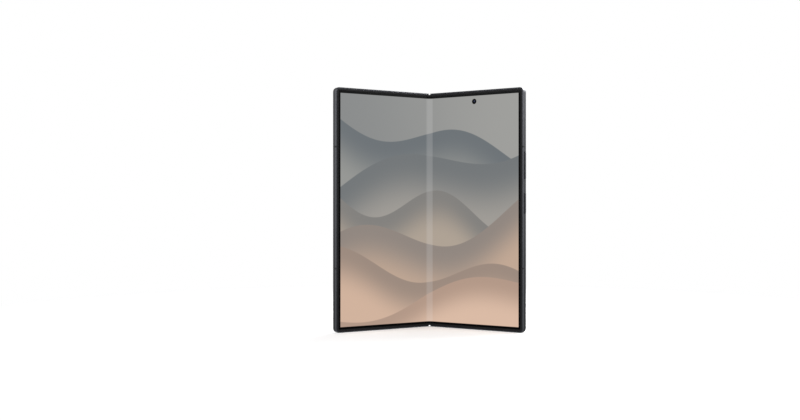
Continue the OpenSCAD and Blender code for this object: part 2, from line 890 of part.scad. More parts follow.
module left_board() {
    color([0.1, 0.22, 0.16]) at_left() difference() {
        block([parts_u, bay_front, left_board_z0],
            [bay_u1 - 6, board_back, bay_z1 - board_edge_gap]);
        small_camera_room(cover_camera_u, cover_hole_z);
        board_screw_holes(left_board_screws);
    }
}

module earpiece_speaker() {
    color(black) at_left()
        block([ear_u0, board_back, bay_z1 - earpiece_h],
            [ear_u0 + earpiece_l, left_back, bay_z1 - 0.2]);
}

// Sheet box that guides the tray
module card_reader() {
    w = tray_w / 2 - tray_step + tray_gap + tray_sheet;
    back = tray_mid + tray_t / 2 + tray_gap + tray_sheet;
    z0 = bay_z1 - tray_l - tray_gap - tray_sheet;
    color(steel) at_left() difference() {
        block([tray_u - w, board_back, z0], [tray_u + w, back, bay_z1 - 0.6]);
        block([tray_u - w + tray_sheet, board_back + tray_sheet, z0 + tray_sheet],
            [tray_u + w - tray_sheet, back - tray_sheet, bay_z1 + 1]);
    }
}

// Door in the top edge and the frame that carries the cards
module card_tray() {
    w = tray_w / 2 - tray_step;
    rail = 0.9;
    window_l = (tray_l - 4) / 2;
    color([0.28, 0.29, 0.32]) at_left() {
        translate([tray_u, tray_mid, bay_z1 - 0.1]) linear_extrude(wall_t + 0.1)
            stadium([tray_w, tray_door]);
        difference() {
            block([tray_u - w, tray_mid - tray_t / 2, bay_z1 - tray_l],
                [tray_u + w, tray_mid + tray_t / 2, bay_z1]);
            block([tray_u - w + rail, tray_mid - tray_t / 2 + 0.2, bay_z1 - tray_l + rail],
                [tray_u + w - rail, tray_mid + tray_t, bay_z1 - tray_l + rail + 2 * window_l]);
        }
    }
}

// ---- Hinge ----

// Section of the spine at a given radius round both axes, behind the arms
module spine_section(r) {
    intersection() {
        union() {
            for (side = [-1, 1]) translate([side * axis_x, axis_depth]) circle(r);
            translate([-axis_x, axis_depth]) square([2 * axis_x, r]);
        }
        translate([-2 * axis_x - r, spine_front]) square([4 * axis_x + 2 * r, 2 * r]);
    }
}

module spine_cover() {
    color([0.2, 0.21, 0.24]) at_spine() translate([0, 0, spine_end])
        linear_extrude(body_h - 2 * spine_end) difference() {
            spine_section(spine_r);
            spine_section(spine_inner_r);
        }
}

module spine_end_caps() {
    color(black) at_spine()
        for (z = [spine_end, body_h - spine_end - cap_l]) translate([0, 0, z])
            linear_extrude(cap_l) spine_section(spine_inner_r - 0.02);
}

// Section that carries both shafts
module bracket_section() {
    front = axis_depth - 0.4;
    spine_section(spine_inner_r - 0.02);
    translate([-axis_x, axis_depth]) square([2 * axis_x, spine_inner_r - 0.02]);
    translate([-axis_x / 2, front]) square([axis_x, spine_inner_r]);
    for (side = [-1, 1]) translate([side * axis_x, axis_depth]) circle(knuckle_r);
}

module bracket_cheek(z) {
    translate([0, 0, z]) linear_extrude(cheek_l) difference() {
        bracket_section();
        for (side = [-1, 1]) translate([side * axis_x, axis_depth]) circle(shaft_r + fit_gap / 2);
    }
}

// Three cheeks in each hinge module: the arm turns between the first two, and the springs
// press between the last two
module hinge_brackets() {
    color([0.5, 0.5, 0.52]) at_spine() for (z = hinge_stations) {
        bracket_cheek(z);
        bracket_cheek(z + middle_cheek_z);
        bracket_cheek(z + last_cheek_z);
    }
}

module hinge_shafts() {
    for (z = hinge_stations)
        translate([axis_x, axis_depth, z]) cylinder(h = module_l, r = shaft_r);
}

module right_hinge_shafts() {
    color(steel) at_spine() hinge_shafts();
}

module left_hinge_shafts() {
    color(steel) at_spine() mirror([1, 0, 0]) hinge_shafts();
}

// Stacks of disc springs on the shafts: their rub holds the phone at any angle
module torque_springs() {
    discs = 8;
    pitch = spring_l / discs;
    color([0.7, 0.62, 0.4]) at_spine()
        for (z = hinge_stations, side = [-1, 1], i = [0:discs - 1])
            translate([side * axis_x, axis_depth, z + spring_z + i * pitch]) difference() {
                cylinder(h = pitch * 0.8, r = knuckle_r - 0.05);
                translate([0, 0, -1]) cylinder(h = 3, r = shaft_r + fit_gap / 2);
            }
}

// Knuckle on the shaft, a slim neck past the spine cover, and a foot under the shoulder
module arm_section() {
    front = display_back + wing_t;
    neck_back = axis_depth + arm_half;
    difference() {
        union() {
            translate([axis_x, axis_depth]) circle(knuckle_r);
            translate([axis_x, front])
                square([shoulder_u + fit_gap - axis_x + 0.01, neck_back - front]);
            translate([shoulder_u + fit_gap, front])
                square([arm_end - shoulder_u - fit_gap, shoulder_depth - front]);
        }
        translate([axis_x, axis_depth]) circle(shaft_r + fit_gap / 2);
    }
}

module hinge_arms() {
    difference() {
        for (z = hinge_stations) translate([0, 0, z + arm_z]) linear_extrude(arm_l) arm_section();
        arm_screw_holes();
    }
}

module right_hinge_arms() {
    color([0.5, 0.5, 0.52]) at_right() hinge_arms();
}

module left_hinge_arms() {
    color([0.5, 0.5, 0.52]) at_left() hinge_arms();
}

// Two ribbon cables that carry power and data between the halves through the spine
module hinge_flex_cables() {
    depth = axis_depth + 0.15;
    crown = axis_depth + spine_inner_r - 0.5;
    right = [
        turned(plate_u - 0.4, depth), turned(shoulder_u + 0.1, depth),
        [axis_x + 0.8, axis_depth + 0.75], [axis_x - 0.2, crown - 0.2]
    ];
    left = [for (i = [3:-1:0]) flipped(right[i])];
    route = concat(right, [[0, crown]], left);
    last = len(route) - 1;
    back = [for (i = [last:-1:0]) route[i] + [0, cable_t]];
    color([0.8, 0.5, 0.15]) at_spine() for (z = cable_places)
        translate([0, 0, z]) linear_extrude(cable_w) polygon(concat(route, back));
}

right_frame();
right_antenna_bands();
right_bezel();
right_display();
right_support_plate();
right_wing_plate();
rear_cover();
camera_island();
lens_ring(0);  // lens_ring_top
lens_ring(1);  // lens_ring_middle
lens_ring(2);  // lens_ring_bottom
lens_glass(0);  // lens_glass_top
lens_glass(1);  // lens_glass_middle
lens_glass(2);  // lens_glass_bottom
camera_module(0);  // camera_top
camera_module(1);  // camera_middle
camera_module(2);  // camera_bottom
flash_window();
inner_camera();
mainboard();
shield_can_large();
shield_can_small();
right_battery();
charging_coil();
charging_board();
usb_socket();
bottom_speaker();
vibration_motor();
key_switches();
right_screws();
volume_key();
side_key();
left_frame();
left_antenna_bands();
left_bezel();
left_display();
left_support_plate();
left_wing_plate();
cover_glass();
cover_display();
cover_camera();
left_battery();
left_board();
earpiece_speaker();
card_reader();
left_screws();
card_tray();
spine_cover();
spine_end_caps();
hinge_brackets();
right_hinge_shafts();
left_hinge_shafts();
torque_springs();
right_hinge_arms();
left_hinge_arms();
display_fold();
hinge_flex_cables();
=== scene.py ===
# Foldable smartphone standing part-way open on its bottom edge, like a book.
# Places are in metres. A place on a half is given as on the flat half: u from the hinge plane
# to the free edge, depth back from the front of the frame, and z up along the hinge.

import json

import bmesh
import bpy
import numpy as np
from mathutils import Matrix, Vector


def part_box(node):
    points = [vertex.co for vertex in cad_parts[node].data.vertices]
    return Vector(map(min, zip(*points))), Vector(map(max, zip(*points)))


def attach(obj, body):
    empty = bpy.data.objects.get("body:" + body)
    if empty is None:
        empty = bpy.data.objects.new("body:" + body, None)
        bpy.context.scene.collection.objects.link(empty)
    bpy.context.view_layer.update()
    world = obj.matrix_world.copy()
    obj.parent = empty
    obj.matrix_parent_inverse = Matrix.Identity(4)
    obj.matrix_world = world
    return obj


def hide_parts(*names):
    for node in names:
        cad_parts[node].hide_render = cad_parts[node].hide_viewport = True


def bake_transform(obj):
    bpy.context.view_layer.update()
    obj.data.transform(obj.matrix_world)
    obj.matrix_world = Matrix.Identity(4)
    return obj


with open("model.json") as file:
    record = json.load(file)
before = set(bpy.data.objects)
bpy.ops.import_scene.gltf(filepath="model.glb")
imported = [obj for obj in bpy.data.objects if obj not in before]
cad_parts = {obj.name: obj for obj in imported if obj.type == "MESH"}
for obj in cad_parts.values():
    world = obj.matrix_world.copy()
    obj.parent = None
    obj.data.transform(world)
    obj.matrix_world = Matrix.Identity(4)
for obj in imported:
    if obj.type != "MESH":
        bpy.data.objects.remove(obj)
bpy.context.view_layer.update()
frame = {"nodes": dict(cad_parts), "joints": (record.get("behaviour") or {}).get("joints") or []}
scene = bpy.context.scene

# ---- View ----
# The phone is seen level and straight on, from two thirds of a metre, at half its height.
# The picture's middle lies a little left of the hinge, which the lens shift gives.

MM = 0.001
body_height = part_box("right_frame")[1].z
view_distance = 679.7 * MM
view_front = 16.85 * MM
crease_pixel = 429.5
picture_width = 800
focal_pixels = 999

camera_data = bpy.data.cameras.new("camera")
camera_data.lens = focal_pixels / picture_width * camera_data.sensor_width
camera_data.shift_x = -(crease_pixel - picture_width / 2) / picture_width
camera_data.clip_start = 0.01
camera = bpy.data.objects.new("camera", camera_data)
camera.location = (0, view_front - view_distance, body_height / 2)
camera.rotation_euler = (np.pi / 2, 0, 0)
scene.collection.objects.link(camera)
scene.camera = camera
scene.view_settings.view_transform = "Standard"


def linear(hex_colour):
    """sRGB hex to linear: below 0.04045 a share of 1/12.92, above it the 2.4 power curve."""
    levels = np.array([int(hex_colour[i:i + 2], 16) / 255 for i in (1, 3, 5)])
    curve = np.where(levels <= 0.04045, levels / 12.92, ((levels + 0.055) / 1.055) ** 2.4)
    return (*curve.tolist(), 1.0)


def add_node(tree, kind, inputs=None, **settings):
    """Adds a node, gives it its settings, and fills its sockets with links or plain values."""
    made = tree.nodes.new(kind)
    for setting, value in settings.items():
        setattr(made, setting, value)
    for socket, value in (inputs or {}).items():
        if isinstance(value, bpy.types.NodeSocket):
            tree.links.new(value, made.inputs[socket])
        else:
            made.inputs[socket].default_value = value
    return made


def seen_directly(tree):
    """1 for rays from the camera, from a mirror or through glass, and 0 for other rays."""
    ray = add_node(tree, "ShaderNodeLightPath")
    sharp = add_node(tree, "ShaderNodeMath", {0: ray.outputs["Is Camera Ray"],
        1: ray.outputs["Is Glossy Ray"]}, operation="MAXIMUM")
    return add_node(tree, "ShaderNodeMath", {0: sharp.outputs[0],
        1: ray.outputs["Is Transmission Ray"]}, operation="MAXIMUM").outputs[0]


# ---- Table and studio ----
# A white table top under a white sky, so that the phone stands free on white. The table fades
# into the sky away from the phone. A wide soft box in front fills the picture, and four
# smaller ones give the long highlights on the edges.

sky_light = 0.55
zenith_shine = 0.22
table_light = 0.22
table_shine = 0.4
table_fade_from, table_fade_to = 0.10, 0.40

world = bpy.data.worlds.new("white_studio")
scene.world = world
world.use_nodes = True
sky = world.node_tree
sky_level = add_node(sky, "ShaderNodeMapRange", {"Value": seen_directly(sky),
    "To Min": sky_light, "To Max": 1.0})
# Glossy surfaces see a sky that gets darker towards the zenith, as under a studio's ceiling.
sky_height = add_node(sky, "ShaderNodeSeparateXYZ", {
    0: add_node(sky, "ShaderNodeTexCoord").outputs["Generated"]})
sky_shine = add_node(sky, "ShaderNodeMapRange", {"Value": sky_height.outputs["Z"],
    "From Min": 0.15, "From Max": 0.9, "To Min": 1.0, "To Max": zenith_shine})
sky_dimmed = add_node(sky, "ShaderNodeMath", {0: sky_level.outputs["Result"],
    1: sky_shine.outputs["Result"]}, operation="MULTIPLY")
sky_mix = add_node(sky, "ShaderNodeMix", {
    0: add_node(sky, "ShaderNodeLightPath").outputs["Is Glossy Ray"],
    2: sky_level.outputs["Result"], 3: sky_dimmed.outputs[0]})
sky.nodes["Background"].inputs["Color"].default_value = (1, 1, 1, 1)
sky.links.new(sky_mix.outputs[0], sky.nodes["Background"].inputs["Strength"])

table_top = bpy.data.materials.new("white_table_top")
table_top.use_nodes = True
top = table_top.node_tree
top_shader = top.nodes["Principled BSDF"]
top_shader.inputs["Base Color"].default_value = linear("#f4f4f4")
top_shader.inputs["Roughness"].default_value = 0.9
top_shader.inputs["Specular IOR Level"].default_value = 0.1
top_seen = seen_directly(top)
top_glow = add_node(top, "ShaderNodeMath", {0: top_seen, 1: table_light}, operation="MULTIPLY")
top.links.new(top_glow.outputs[0], top_shader.inputs["Emission Strength"])
top_distance = add_node(top, "ShaderNodeVectorMath",
    {0: add_node(top, "ShaderNodeTexCoord").outputs["Object"]}, operation="LENGTH")
top_far = add_node(top, "ShaderNodeMapRange", {"Value": top_distance.outputs["Value"],
    "From Min": table_fade_from, "From Max": table_fade_to}, interpolation_type="SMOOTHSTEP")
# In glossy surfaces the whole table is darker than the sky, as a floor is below its lamps.
top_glossy = add_node(top, "ShaderNodeLightPath").outputs["Is Glossy Ray"]
top_faded = add_node(top, "ShaderNodeMath", {0: top_far.outputs["Result"], 1: top_seen},
    operation="MULTIPLY")
top_share = add_node(top, "ShaderNodeMath", {0: top_faded.outputs[0], 1: top_glossy},
    operation="MAXIMUM")
top_level = add_node(top, "ShaderNodeMapRange", {"Value": top_glossy, "To Min": 1.0,
    "To Max": table_shine})
top_white = add_node(top, "ShaderNodeEmission", {"Color": (1, 1, 1, 1),
    "Strength": top_level.outputs["Result"]})
top_mix = add_node(top, "ShaderNodeMixShader", {0: top_share.outputs[0],
    1: top_shader.outputs["BSDF"], 2: top_white.outputs["Emission"]})
top.links.new(top_mix.outputs["Shader"], top.nodes["Material Output"].inputs["Surface"])

table_mesh = bpy.data.meshes.new("table")
table_half = 4.0
table_mesh.from_pydata([(x * table_half, y * table_half, 0) for x, y in
    ((-1, -1), (1, -1), (1, 1), (-1, 1))], [], [(0, 1, 2, 3)])
table = bpy.data.objects.new("table", table_mesh)
table_mesh.materials.append(table_top)
scene.collection.objects.link(table)

# A box has its place, its width and its power in watts. It faces the phone's middle.
soft_boxes = {
    "box_front": ((0.05, -1.10, 0.35), 1.00, 3.4),
    "box_left": ((-0.55, -0.30, 0.50), 0.35, 1.5),
    "box_right": ((0.60, -0.20, 0.38), 0.35, 1.3),
    "box_back": ((0.30, 0.50, 0.50), 0.40, 4.2),
    "box_back_right": ((0.58, 0.28, 0.44), 0.36, 2.2),
}
for box_name, (place, size, watts) in soft_boxes.items():
    lamp = bpy.data.lights.new(box_name, "AREA")
    lamp.size = size
    lamp.energy = watts
    lamp_object = bpy.data.objects.new(box_name, lamp)
    lamp_object.location = place
    aim = np.array([0, 0, body_height / 2]) - np.array(place)
    lamp_object.rotation_euler = (
        np.arccos(-aim[2] / np.linalg.norm(aim)), 0, np.arctan2(aim[1], aim[0]) - np.pi / 2)
    scene.collection.objects.link(lamp_object)

# ---- Frames ----
# Each half has a milled frame of aluminium alloy, bead-blasted and anodised dark blue-grey.
# The blasting gives an even satin, and a thin highlight is painted on the chamfers, coloured
# lighter than the other faces.


def finish(name, colour, metallic=0.0, roughness=0.5, sockets=None):
    """A material with one shader, whose colour and fixed sockets are set."""
    material = bpy.data.materials.new(name)
    material.use_nodes = True
    shader = material.node_tree.nodes["Principled BSDF"]
    shader.inputs["Base Color"].default_value = linear(colour)
    shader.inputs["Metallic"].default_value = metallic
    shader.inputs["Roughness"].default_value = roughness
    for socket, value in (sockets or {}).items():
        shader.inputs[socket].default_value = value
    return material, material.node_tree, shader


def grained(name, dark, light, metallic, roughness, grain, relief, sockets=None):
    """A finish with a fine grain: small noise lifts the surface and varies its roughness by
    15 percent, and noise 30 times as wide leads the colour from the dark tone to the light."""
    material, tree, shader = finish(name, light, metallic, roughness, sockets)
    place = add_node(tree, "ShaderNodeTexCoord").outputs["Object"]
    fine = add_node(tree, "ShaderNodeTexNoise", {"Vector": place, "Scale": 1 / grain,
        "Detail": 2.0})
    wide = add_node(tree, "ShaderNodeTexNoise", {"Vector": place, "Scale": 1 / (30 * grain),
        "Detail": 3.0})
    tone = add_node(tree, "ShaderNodeMix", {0: wide.outputs["Fac"], 6: linear(dark),
        7: linear(light)}, data_type="RGBA")
    tree.links.new(tone.outputs[2], shader.inputs["Base Color"])
    gloss = add_node(tree, "ShaderNodeMapRange", {"Value": fine.outputs["Fac"],
        "To Min": roughness * 0.85, "To Max": roughness * 1.15})
    tree.links.new(gloss.outputs["Result"], shader.inputs["Roughness"])
    bump = add_node(tree, "ShaderNodeBump", {"Height": fine.outputs["Fac"], "Strength": 0.35,
        "Distance": relief})
    tree.links.new(bump.outputs["Normal"], shader.inputs["Normal"])
    return material


def dress(material, *nodes):
    """Gives a material to whole solids of the frame."""
    for node in nodes:
        slots = frame["nodes"][node].data.materials
        slots.clear()
        slots.append(material)


def softened(node, body, edge, material):
    """A rounded twin that stands for a solid: the corner points of its triangles are merged,
    flat triangles joined, and a bevel rounds each edge sharper than 30 degrees."""
    mesh = bpy.data.meshes.new(node + "_soft")
    shape = bmesh.new()
    shape.from_mesh(frame["nodes"][node].data)
    bmesh.ops.remove_doubles(shape, verts=shape.verts, dist=1e-6)
    bmesh.ops.dissolve_limit(shape, angle_limit=np.radians(0.5), verts=shape.verts,
        edges=shape.edges)
    shape.to_mesh(mesh)
    shape.free()
    mesh.materials.clear()
    mesh.materials.append(material)
    mesh.polygons.foreach_set("material_index", np.zeros(len(mesh.polygons), np.int32))
    mesh.polygons.foreach_set("use_smooth", np.ones(len(mesh.polygons), bool))
    twin = bpy.data.objects.new(node + "_soft", mesh)
    scene.collection.objects.link(twin)
    bevel = twin.modifiers.new("rounded edges", "BEVEL")
    bevel.width = edge
    bevel.segments = 3
    bevel.limit_method = "ANGLE"
    bevel.angle_limit = np.radians(30)
    twin.modifiers.new("flat faces shaded flat", "WEIGHTED_NORMAL")
    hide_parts(node)
    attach(twin, body)


# The grain of a blasted surface is about 0.05 mm, too fine for the picture, so it is 0.3 mm.
anodised_frame = grained("anodised_aluminium", "#35363a", "#3b3c41", 1.0, 0.34, 0.3 * MM,
    0.001 * MM)
dress(anodised_frame, "right_frame", "left_frame")

# Each half is turned this far from flat open.
fold = np.radians(32)


def paint_edge_highlight(material, colour):
    """Paints a highlight on chamfers: they get a brighter colour than the other faces, as if they
    caught a thin line of light. They are told by their normal, which lies about 45 degrees off
    the front face's. Each half is turned by the fold, so x counts outwards from the hinge."""
    cosine, tolerance = float(np.cos(np.pi / 4)), 0.12
    tree = material.node_tree
    shader = tree.nodes["Principled BSDF"]
    place = add_node(tree, "ShaderNodeTexCoord")
    spot = add_node(tree, "ShaderNodeSeparateXYZ", {0: place.outputs["Object"]})
    normal = add_node(tree, "ShaderNodeSeparateXYZ", {0: place.outputs["Normal"]})
    hand = add_node(tree, "ShaderNodeMath", {0: spot.outputs["X"]}, operation="SIGN")
    outward = add_node(tree, "ShaderNodeMath", {0: hand.outputs[0], 1: normal.outputs["X"]},
        operation="MULTIPLY")
    turned_x = add_node(tree, "ShaderNodeMath", {0: outward.outputs[0],
        1: float(np.sin(fold))}, operation="MULTIPLY")
    facing = add_node(tree, "ShaderNodeMath", {0: normal.outputs["Y"],
        1: float(np.cos(fold)), 2: turned_x.outputs[0]}, operation="MULTIPLY_ADD")
    size_of = add_node(tree, "ShaderNodeMath", {0: facing.outputs[0]}, operation="ABSOLUTE")
    on_highlight = add_node(tree, "ShaderNodeMath", {0: size_of.outputs[0], 1: cosine,
        2: tolerance}, operation="COMPARE")
    tone = add_node(tree, "ShaderNodeMix", {0: on_highlight.outputs[0],
        6: shader.inputs["Base Color"].links[0].from_socket, 7: linear(colour)},
        data_type="RGBA")
    tree.links.new(tone.outputs[2], shader.inputs["Base Color"])


# Painted highlight: the frames' chamfers are coloured lighter than their other faces.
paint_edge_highlight(anodised_frame, "#646569")

# ---- Antenna bands ----
# Narrow strips of filled nylon, moulded into slots of the frame and blasted with it.
# They are flush with the metal, a shade darker, and matt.

band_nylon = grained("moulded_nylon", "#1d1e21", "#242529", 0.0, 0.6, 0.25 * MM, 0.002 * MM,
    {"Specular IOR Level": 0.3})
dress(band_nylon, "right_antenna_bands", "left_antenna_bands")

# ---- Bezels ----
# Soft black polymer strips, glued over the edge of the display. They stand a little proud, so
# that the two displays never touch when the phone is shut.

bezel_polymer = grained("soft_black_polymer", "#161617", "#1d1d1e", 0.0, 0.6, 0.25 * MM,
    0.002 * MM, {"Specular IOR Level": 0.15})
dress(bezel_polymer, "right_bezel", "left_bezel")

# ---- Folding display ----
# One sheet of plastic film over ultra-thin glass, bonded at the back to a steel carrier. It is
# flat on each half and bends through a wide arc at the crease. The outermost strip is black.

hinge_joint = next(j for j in frame["joints"] if j["name"] == "right_fold")
axis_x, axis_y = hinge_joint["pos_m"][:2]
axis_depth = 1.15 * MM
half_width = 71.6 * MM
frame_thickness = 4.2 * MM
corner_radius = 3 * MM
display_depth = 0.1 * MM
display_thickness = 0.38 * MM
display_inset = 1.55 * MM
display_step = 3 * MM
film_edge = 0.05 * MM
crease_radius = 4.5 * MM
hole_u, hole_z = 35.2 * MM, body_height - 7.3 * MM
hole_radius, hole_window = 1.8 * MM, 2.8 * MM


def on_half(side, u, depth, z):
    """Place at rest of a point of the flat half: u and depth are turned by the fold about the
    half's hinge axis, and the left half (side -1) is the mirror image of the right one."""
    out, back = u - axis_x, depth - axis_depth
    x = axis_x + out * np.cos(fold) + back * np.sin(fold)
    y = axis_y - out * np.sin(fold) + back * np.cos(fold)
    return np.stack(np.broadcast_arrays(side * x, y, z), -1)


# The arc meets the flat part where its radius, drawn from the arc's middle, is square to it.
flat_start = on_half(1, axis_x, display_depth, 0)
arc_y = flat_start[1] + (flat_start[0] * np.sin(fold) - crease_radius) / np.cos(fold)
arc_length = crease_radius * fold
arc_end_u = axis_x + (crease_radius * np.sin(fold) - flat_start[0]) / np.cos(fold)
display_end = half_width - display_inset - arc_end_u + arc_length


def on_display(side, s, depth, z):
    """Place of a point of the display: s runs along its face from the crease. Up to the end of
    the arc it is an angle round the arc's middle, and past it a distance along the half."""
    angle = np.minimum(s, arc_length) / crease_radius
    reach = crease_radius + depth
    arc = np.stack(np.broadcast_arrays(
        side * reach * np.sin(angle), arc_y + reach * np.cos(angle), z), -1)
    flat = on_half(side, arc_end_u + s - arc_length, display_depth + depth, z)
    return np.where((s < arc_length)[..., None], arc, flat)


def lines(low, high, step):
    """Places of evenly spaced grid lines from low to high, at most a step apart."""
    return np.linspace(low, high, int(np.ceil((high - low) / step)) + 1).round(8)


def lines_with(places, windows):
    """The same grid lines, with eight cells across each window and none too close to it."""
    for middle, half in windows:
        places = places[np.abs(places - middle) > half * 1.15]
    dense = [np.linspace(middle - half, middle + half, 9) for middle, half in windows]
    return np.unique(np.concatenate([places, *dense]).round(8))


def lay_mesh(name, points, faces, material):
    """Makes an object from arrays: doubles are merged, faces turned outwards, and faces that
    meet at less than 35 degrees are shaded smooth."""
    mesh = bpy.data.meshes.new(name)
    mesh.from_pydata(points.reshape(-1, 3), [], np.asarray(faces).tolist())
    shape = bmesh.new()
    shape.from_mesh(mesh)
    bmesh.ops.remove_doubles(shape, verts=shape.verts, dist=2e-7)
    bmesh.ops.recalc_face_normals(shape, faces=shape.faces)
    shape.to_mesh(mesh)
    shape.free()
    mesh.polygons.foreach_set("use_smooth", np.ones(len(mesh.polygons), bool))
    mesh.set_sharp_from_angle(angle=np.radians(35))
    mesh.materials.append(material)
    made = bpy.data.objects.new(name, mesh)
    scene.collection.objects.link(made)
    return made


def quads(first, second):
    """Faces between two rows of point numbers of the same length."""
    return np.stack([first[:-1], first[1:], second[1:], second[:-1]], -1).reshape(-1, 4)


def joined(loops, first):
    """Faces between loops of points that are as long as each other, numbered from the first."""
    numbers = first + np.arange(len(loops) * len(loops[0])).reshape(len(loops), -1)
    return [quads(one, other) for one, other in zip(numbers[:-1], numbers[1:])]


def plate(place, near, far, low, high, radius, thickness, edge, step, holes, rows=None):
    """Points and faces of a thin plate between two distances from the hinge and two heights,
    with its two far corners rounded and its front and back edges rounded by a quarter circle.
    place(distance, depth, height) gives a point of the grid its place in the scene. A hole has
    its middle, the half side of its window and its radius. Eight cells each way give way there
    to rings of quads that lead from the square to the circle."""
    corner_lines, edge_rows, ring_shares = 9, 4, (0, 0.5, 0.85, 1)
    s_lines = rows if rows is not None else lines(near, far, step)
    s_lines = lines_with(s_lines, [(s, half) for s, z, half, hole_r in holes])
    s_lines = s_lines[s_lines < far - radius - step / 4]
    arc = far - radius + radius * np.sin(np.linspace(0, np.pi / 2, corner_lines))
    s_lines = np.concatenate([s_lines, arc])
    z_lines = lines_with(lines(low, high, step), [(z, half) for s, z, half, hole_r in holes])
    s_share = (s_lines - near) / (far - near)
    z_share = (z_lines - low) / (high - low)

    def layer(inset, depth):
        """The grid of points, set in from the outline by the inset, at one depth. An edge that
        lies at zero is the crease, where two halves meet, so it stays square."""
        n, f, r = near + inset * (near > 0), far - inset, max(radius - inset, 1e-9)
        s = n + s_share * (f - n)
        over = np.clip(s - (f - r), 0, r)
        drop = r - np.sqrt(np.maximum(r * r - over * over, 0))
        bottom = low + inset + drop
        top = high - inset - drop
        z = bottom[:, None] + z_share[None, :] * (top - bottom)[:, None]
        s = np.broadcast_to(s[:, None], z.shape)
        return s, z, np.full(z.shape, depth)

    def rim(grid):
        """The points round the edge of a grid, in order, the first one also at the end."""
        return np.concatenate([grid[0, :-1], grid[:-1, -1], grid[-1, :0:-1], grid[:0:-1, 0],
            grid[:1, 0]])

    turn = np.linspace(0, np.pi / 2, edge_rows)
    front = np.stack(layer(edge, 0.0), -1)
    back = np.stack(layer(edge, thickness), -1)
    numbers = np.arange(front[..., 0].size).reshape(front.shape[:2])
    keep = np.ones((numbers.shape[0] - 1, numbers.shape[1] - 1), bool)
    points = [front.reshape(-1, 3), back.reshape(-1, 3)]
    faces = []
    count = 2 * numbers.size

    for centre_s, centre_z, half, hole_r in holes:
        i0, i1 = [int(np.argmin(np.abs(s_lines - x))) for x in (centre_s - half, centre_s + half)]
        j0, j1 = [int(np.argmin(np.abs(z_lines - x))) for x in (centre_z - half, centre_z + half)]
        keep[i0:i1, j0:j1] = False
        centre = np.array([centre_s, centre_z])
        square = points[0][rim(numbers[i0:i1 + 1, j0:j1 + 1])][:, :2]
        angle = np.arctan2(square[:, 1] - centre_z, square[:, 0] - centre_s)
        circle = centre + hole_r * np.stack([np.cos(angle), np.sin(angle)], -1)
        rings = [square + (circle - square) * share for share in ring_shares]
        loops = [np.column_stack([ring, np.zeros(len(ring))]) for ring in rings]
        loops += [np.column_stack([ring, np.full(len(ring), thickness)]) for ring in rings[::-1]]
        faces += joined(loops, count)
        points += loops
        count += len(loops) * len(square)

    cells = np.stack([numbers[:-1, :-1], numbers[1:, :-1], numbers[1:, 1:], numbers[:-1, 1:]],
        -1)[keep]
    faces += [cells, cells[:, ::-1] + numbers.size]

    wall = [layer(edge * (1 - np.sin(t)), edge * (1 - np.cos(t))) for t in turn]
    wall += [layer(edge * (1 - np.cos(t)), thickness - edge * (1 - np.sin(t))) for t in turn]
    loops = [np.stack([rim(axis) for axis in grid], -1) for grid in wall]
    faces += joined(loops, count)
    flat = np.concatenate(points + loops)
    return place(flat[:, 0], flat[:, 2], flat[:, 1]), np.concatenate(faces)


def along_display(points):
    """Distance along the display from the crease, negative on the left half, and the height
    over the middle, for places on or near the display."""
    side = np.sign(points[:, 0])
    x = np.abs(points[:, 0])
    angle = np.arctan2(x, points[:, 1] - arc_y)
    out = (x - axis_x) * np.cos(fold) - (points[:, 1] - axis_y) * np.sin(fold) + axis_x
    distance = np.where(angle < fold, angle * crease_radius, out - arc_end_u + arc_length)
    return side * distance, points[:, 2] - body_height / 2


sheet_scale = 10


def write_map(made):
    """Gives a piece of the display the map "sheet": distance from the crease and height over
    the middle, in decimetres."""
    mesh = made.data
    spot = np.zeros(len(mesh.vertices) * 3)
    mesh.vertices.foreach_get("co", spot)
    corners = np.zeros(len(mesh.loops), np.int32)
    mesh.loops.foreach_get("vertex_index", corners)
    across, up = along_display(spot.reshape(-1, 3))
    sheet = mesh.uv_layers.new(name="sheet")
    sheet.data.foreach_set("uv", (np.stack([across, up], -1)[corners] * sheet_scale).ravel())


# The picture on it: soft hills, one before the other, from cool grey at the top to pale peach
# at the bottom. Each hill is darkest under its crest and fades down to its foot.
# A hill: height and slope of its crest, swing and length of its wave, its shift, the depth
# over which it fades, and its two tones. Lengths are in decimetres.
hills = [
    (0.48, -0.20, 0.10, 1.30, 0.4, 0.40, "#70767a", "#9a9b98"),
    (0.30, 0.26, 0.13, 1.75, 2.6, 0.46, "#767a7c", "#a5a19b"),
    (0.02, -0.12, 0.12, 1.05, 1.1, 0.34, "#868481", "#b3a698"),
    (-0.13, 0.22, 0.15, 1.55, 3.9, 0.40, "#948a83", "#c6ac98"),
    (-0.40, -0.10, 0.10, 1.25, 5.2, 0.34, "#a08e82", "#d6b7a1"),
    (-0.58, 0.16, 0.08, 1.45, 0.2, 0.26, "#b79c8b", "#dfbfa9"),
]
screen_left, screen_right, backdrop_reach = "#8d8f8f", "#a2a29f", 0.7
crest_blur, border_blur = 0.003, 0.001
# The painted reflection at the crease: where it rises on the left and falls on the right, in
# decimetres, and how much white it mixes in.
reflection_left, reflection_right, reflection_level = (-0.029, -0.012), (0.025, 0.019), 0.09
lit_edge = 67.35 * MM
lit_half_height = 75.57 * MM
screen_strength = 0.95

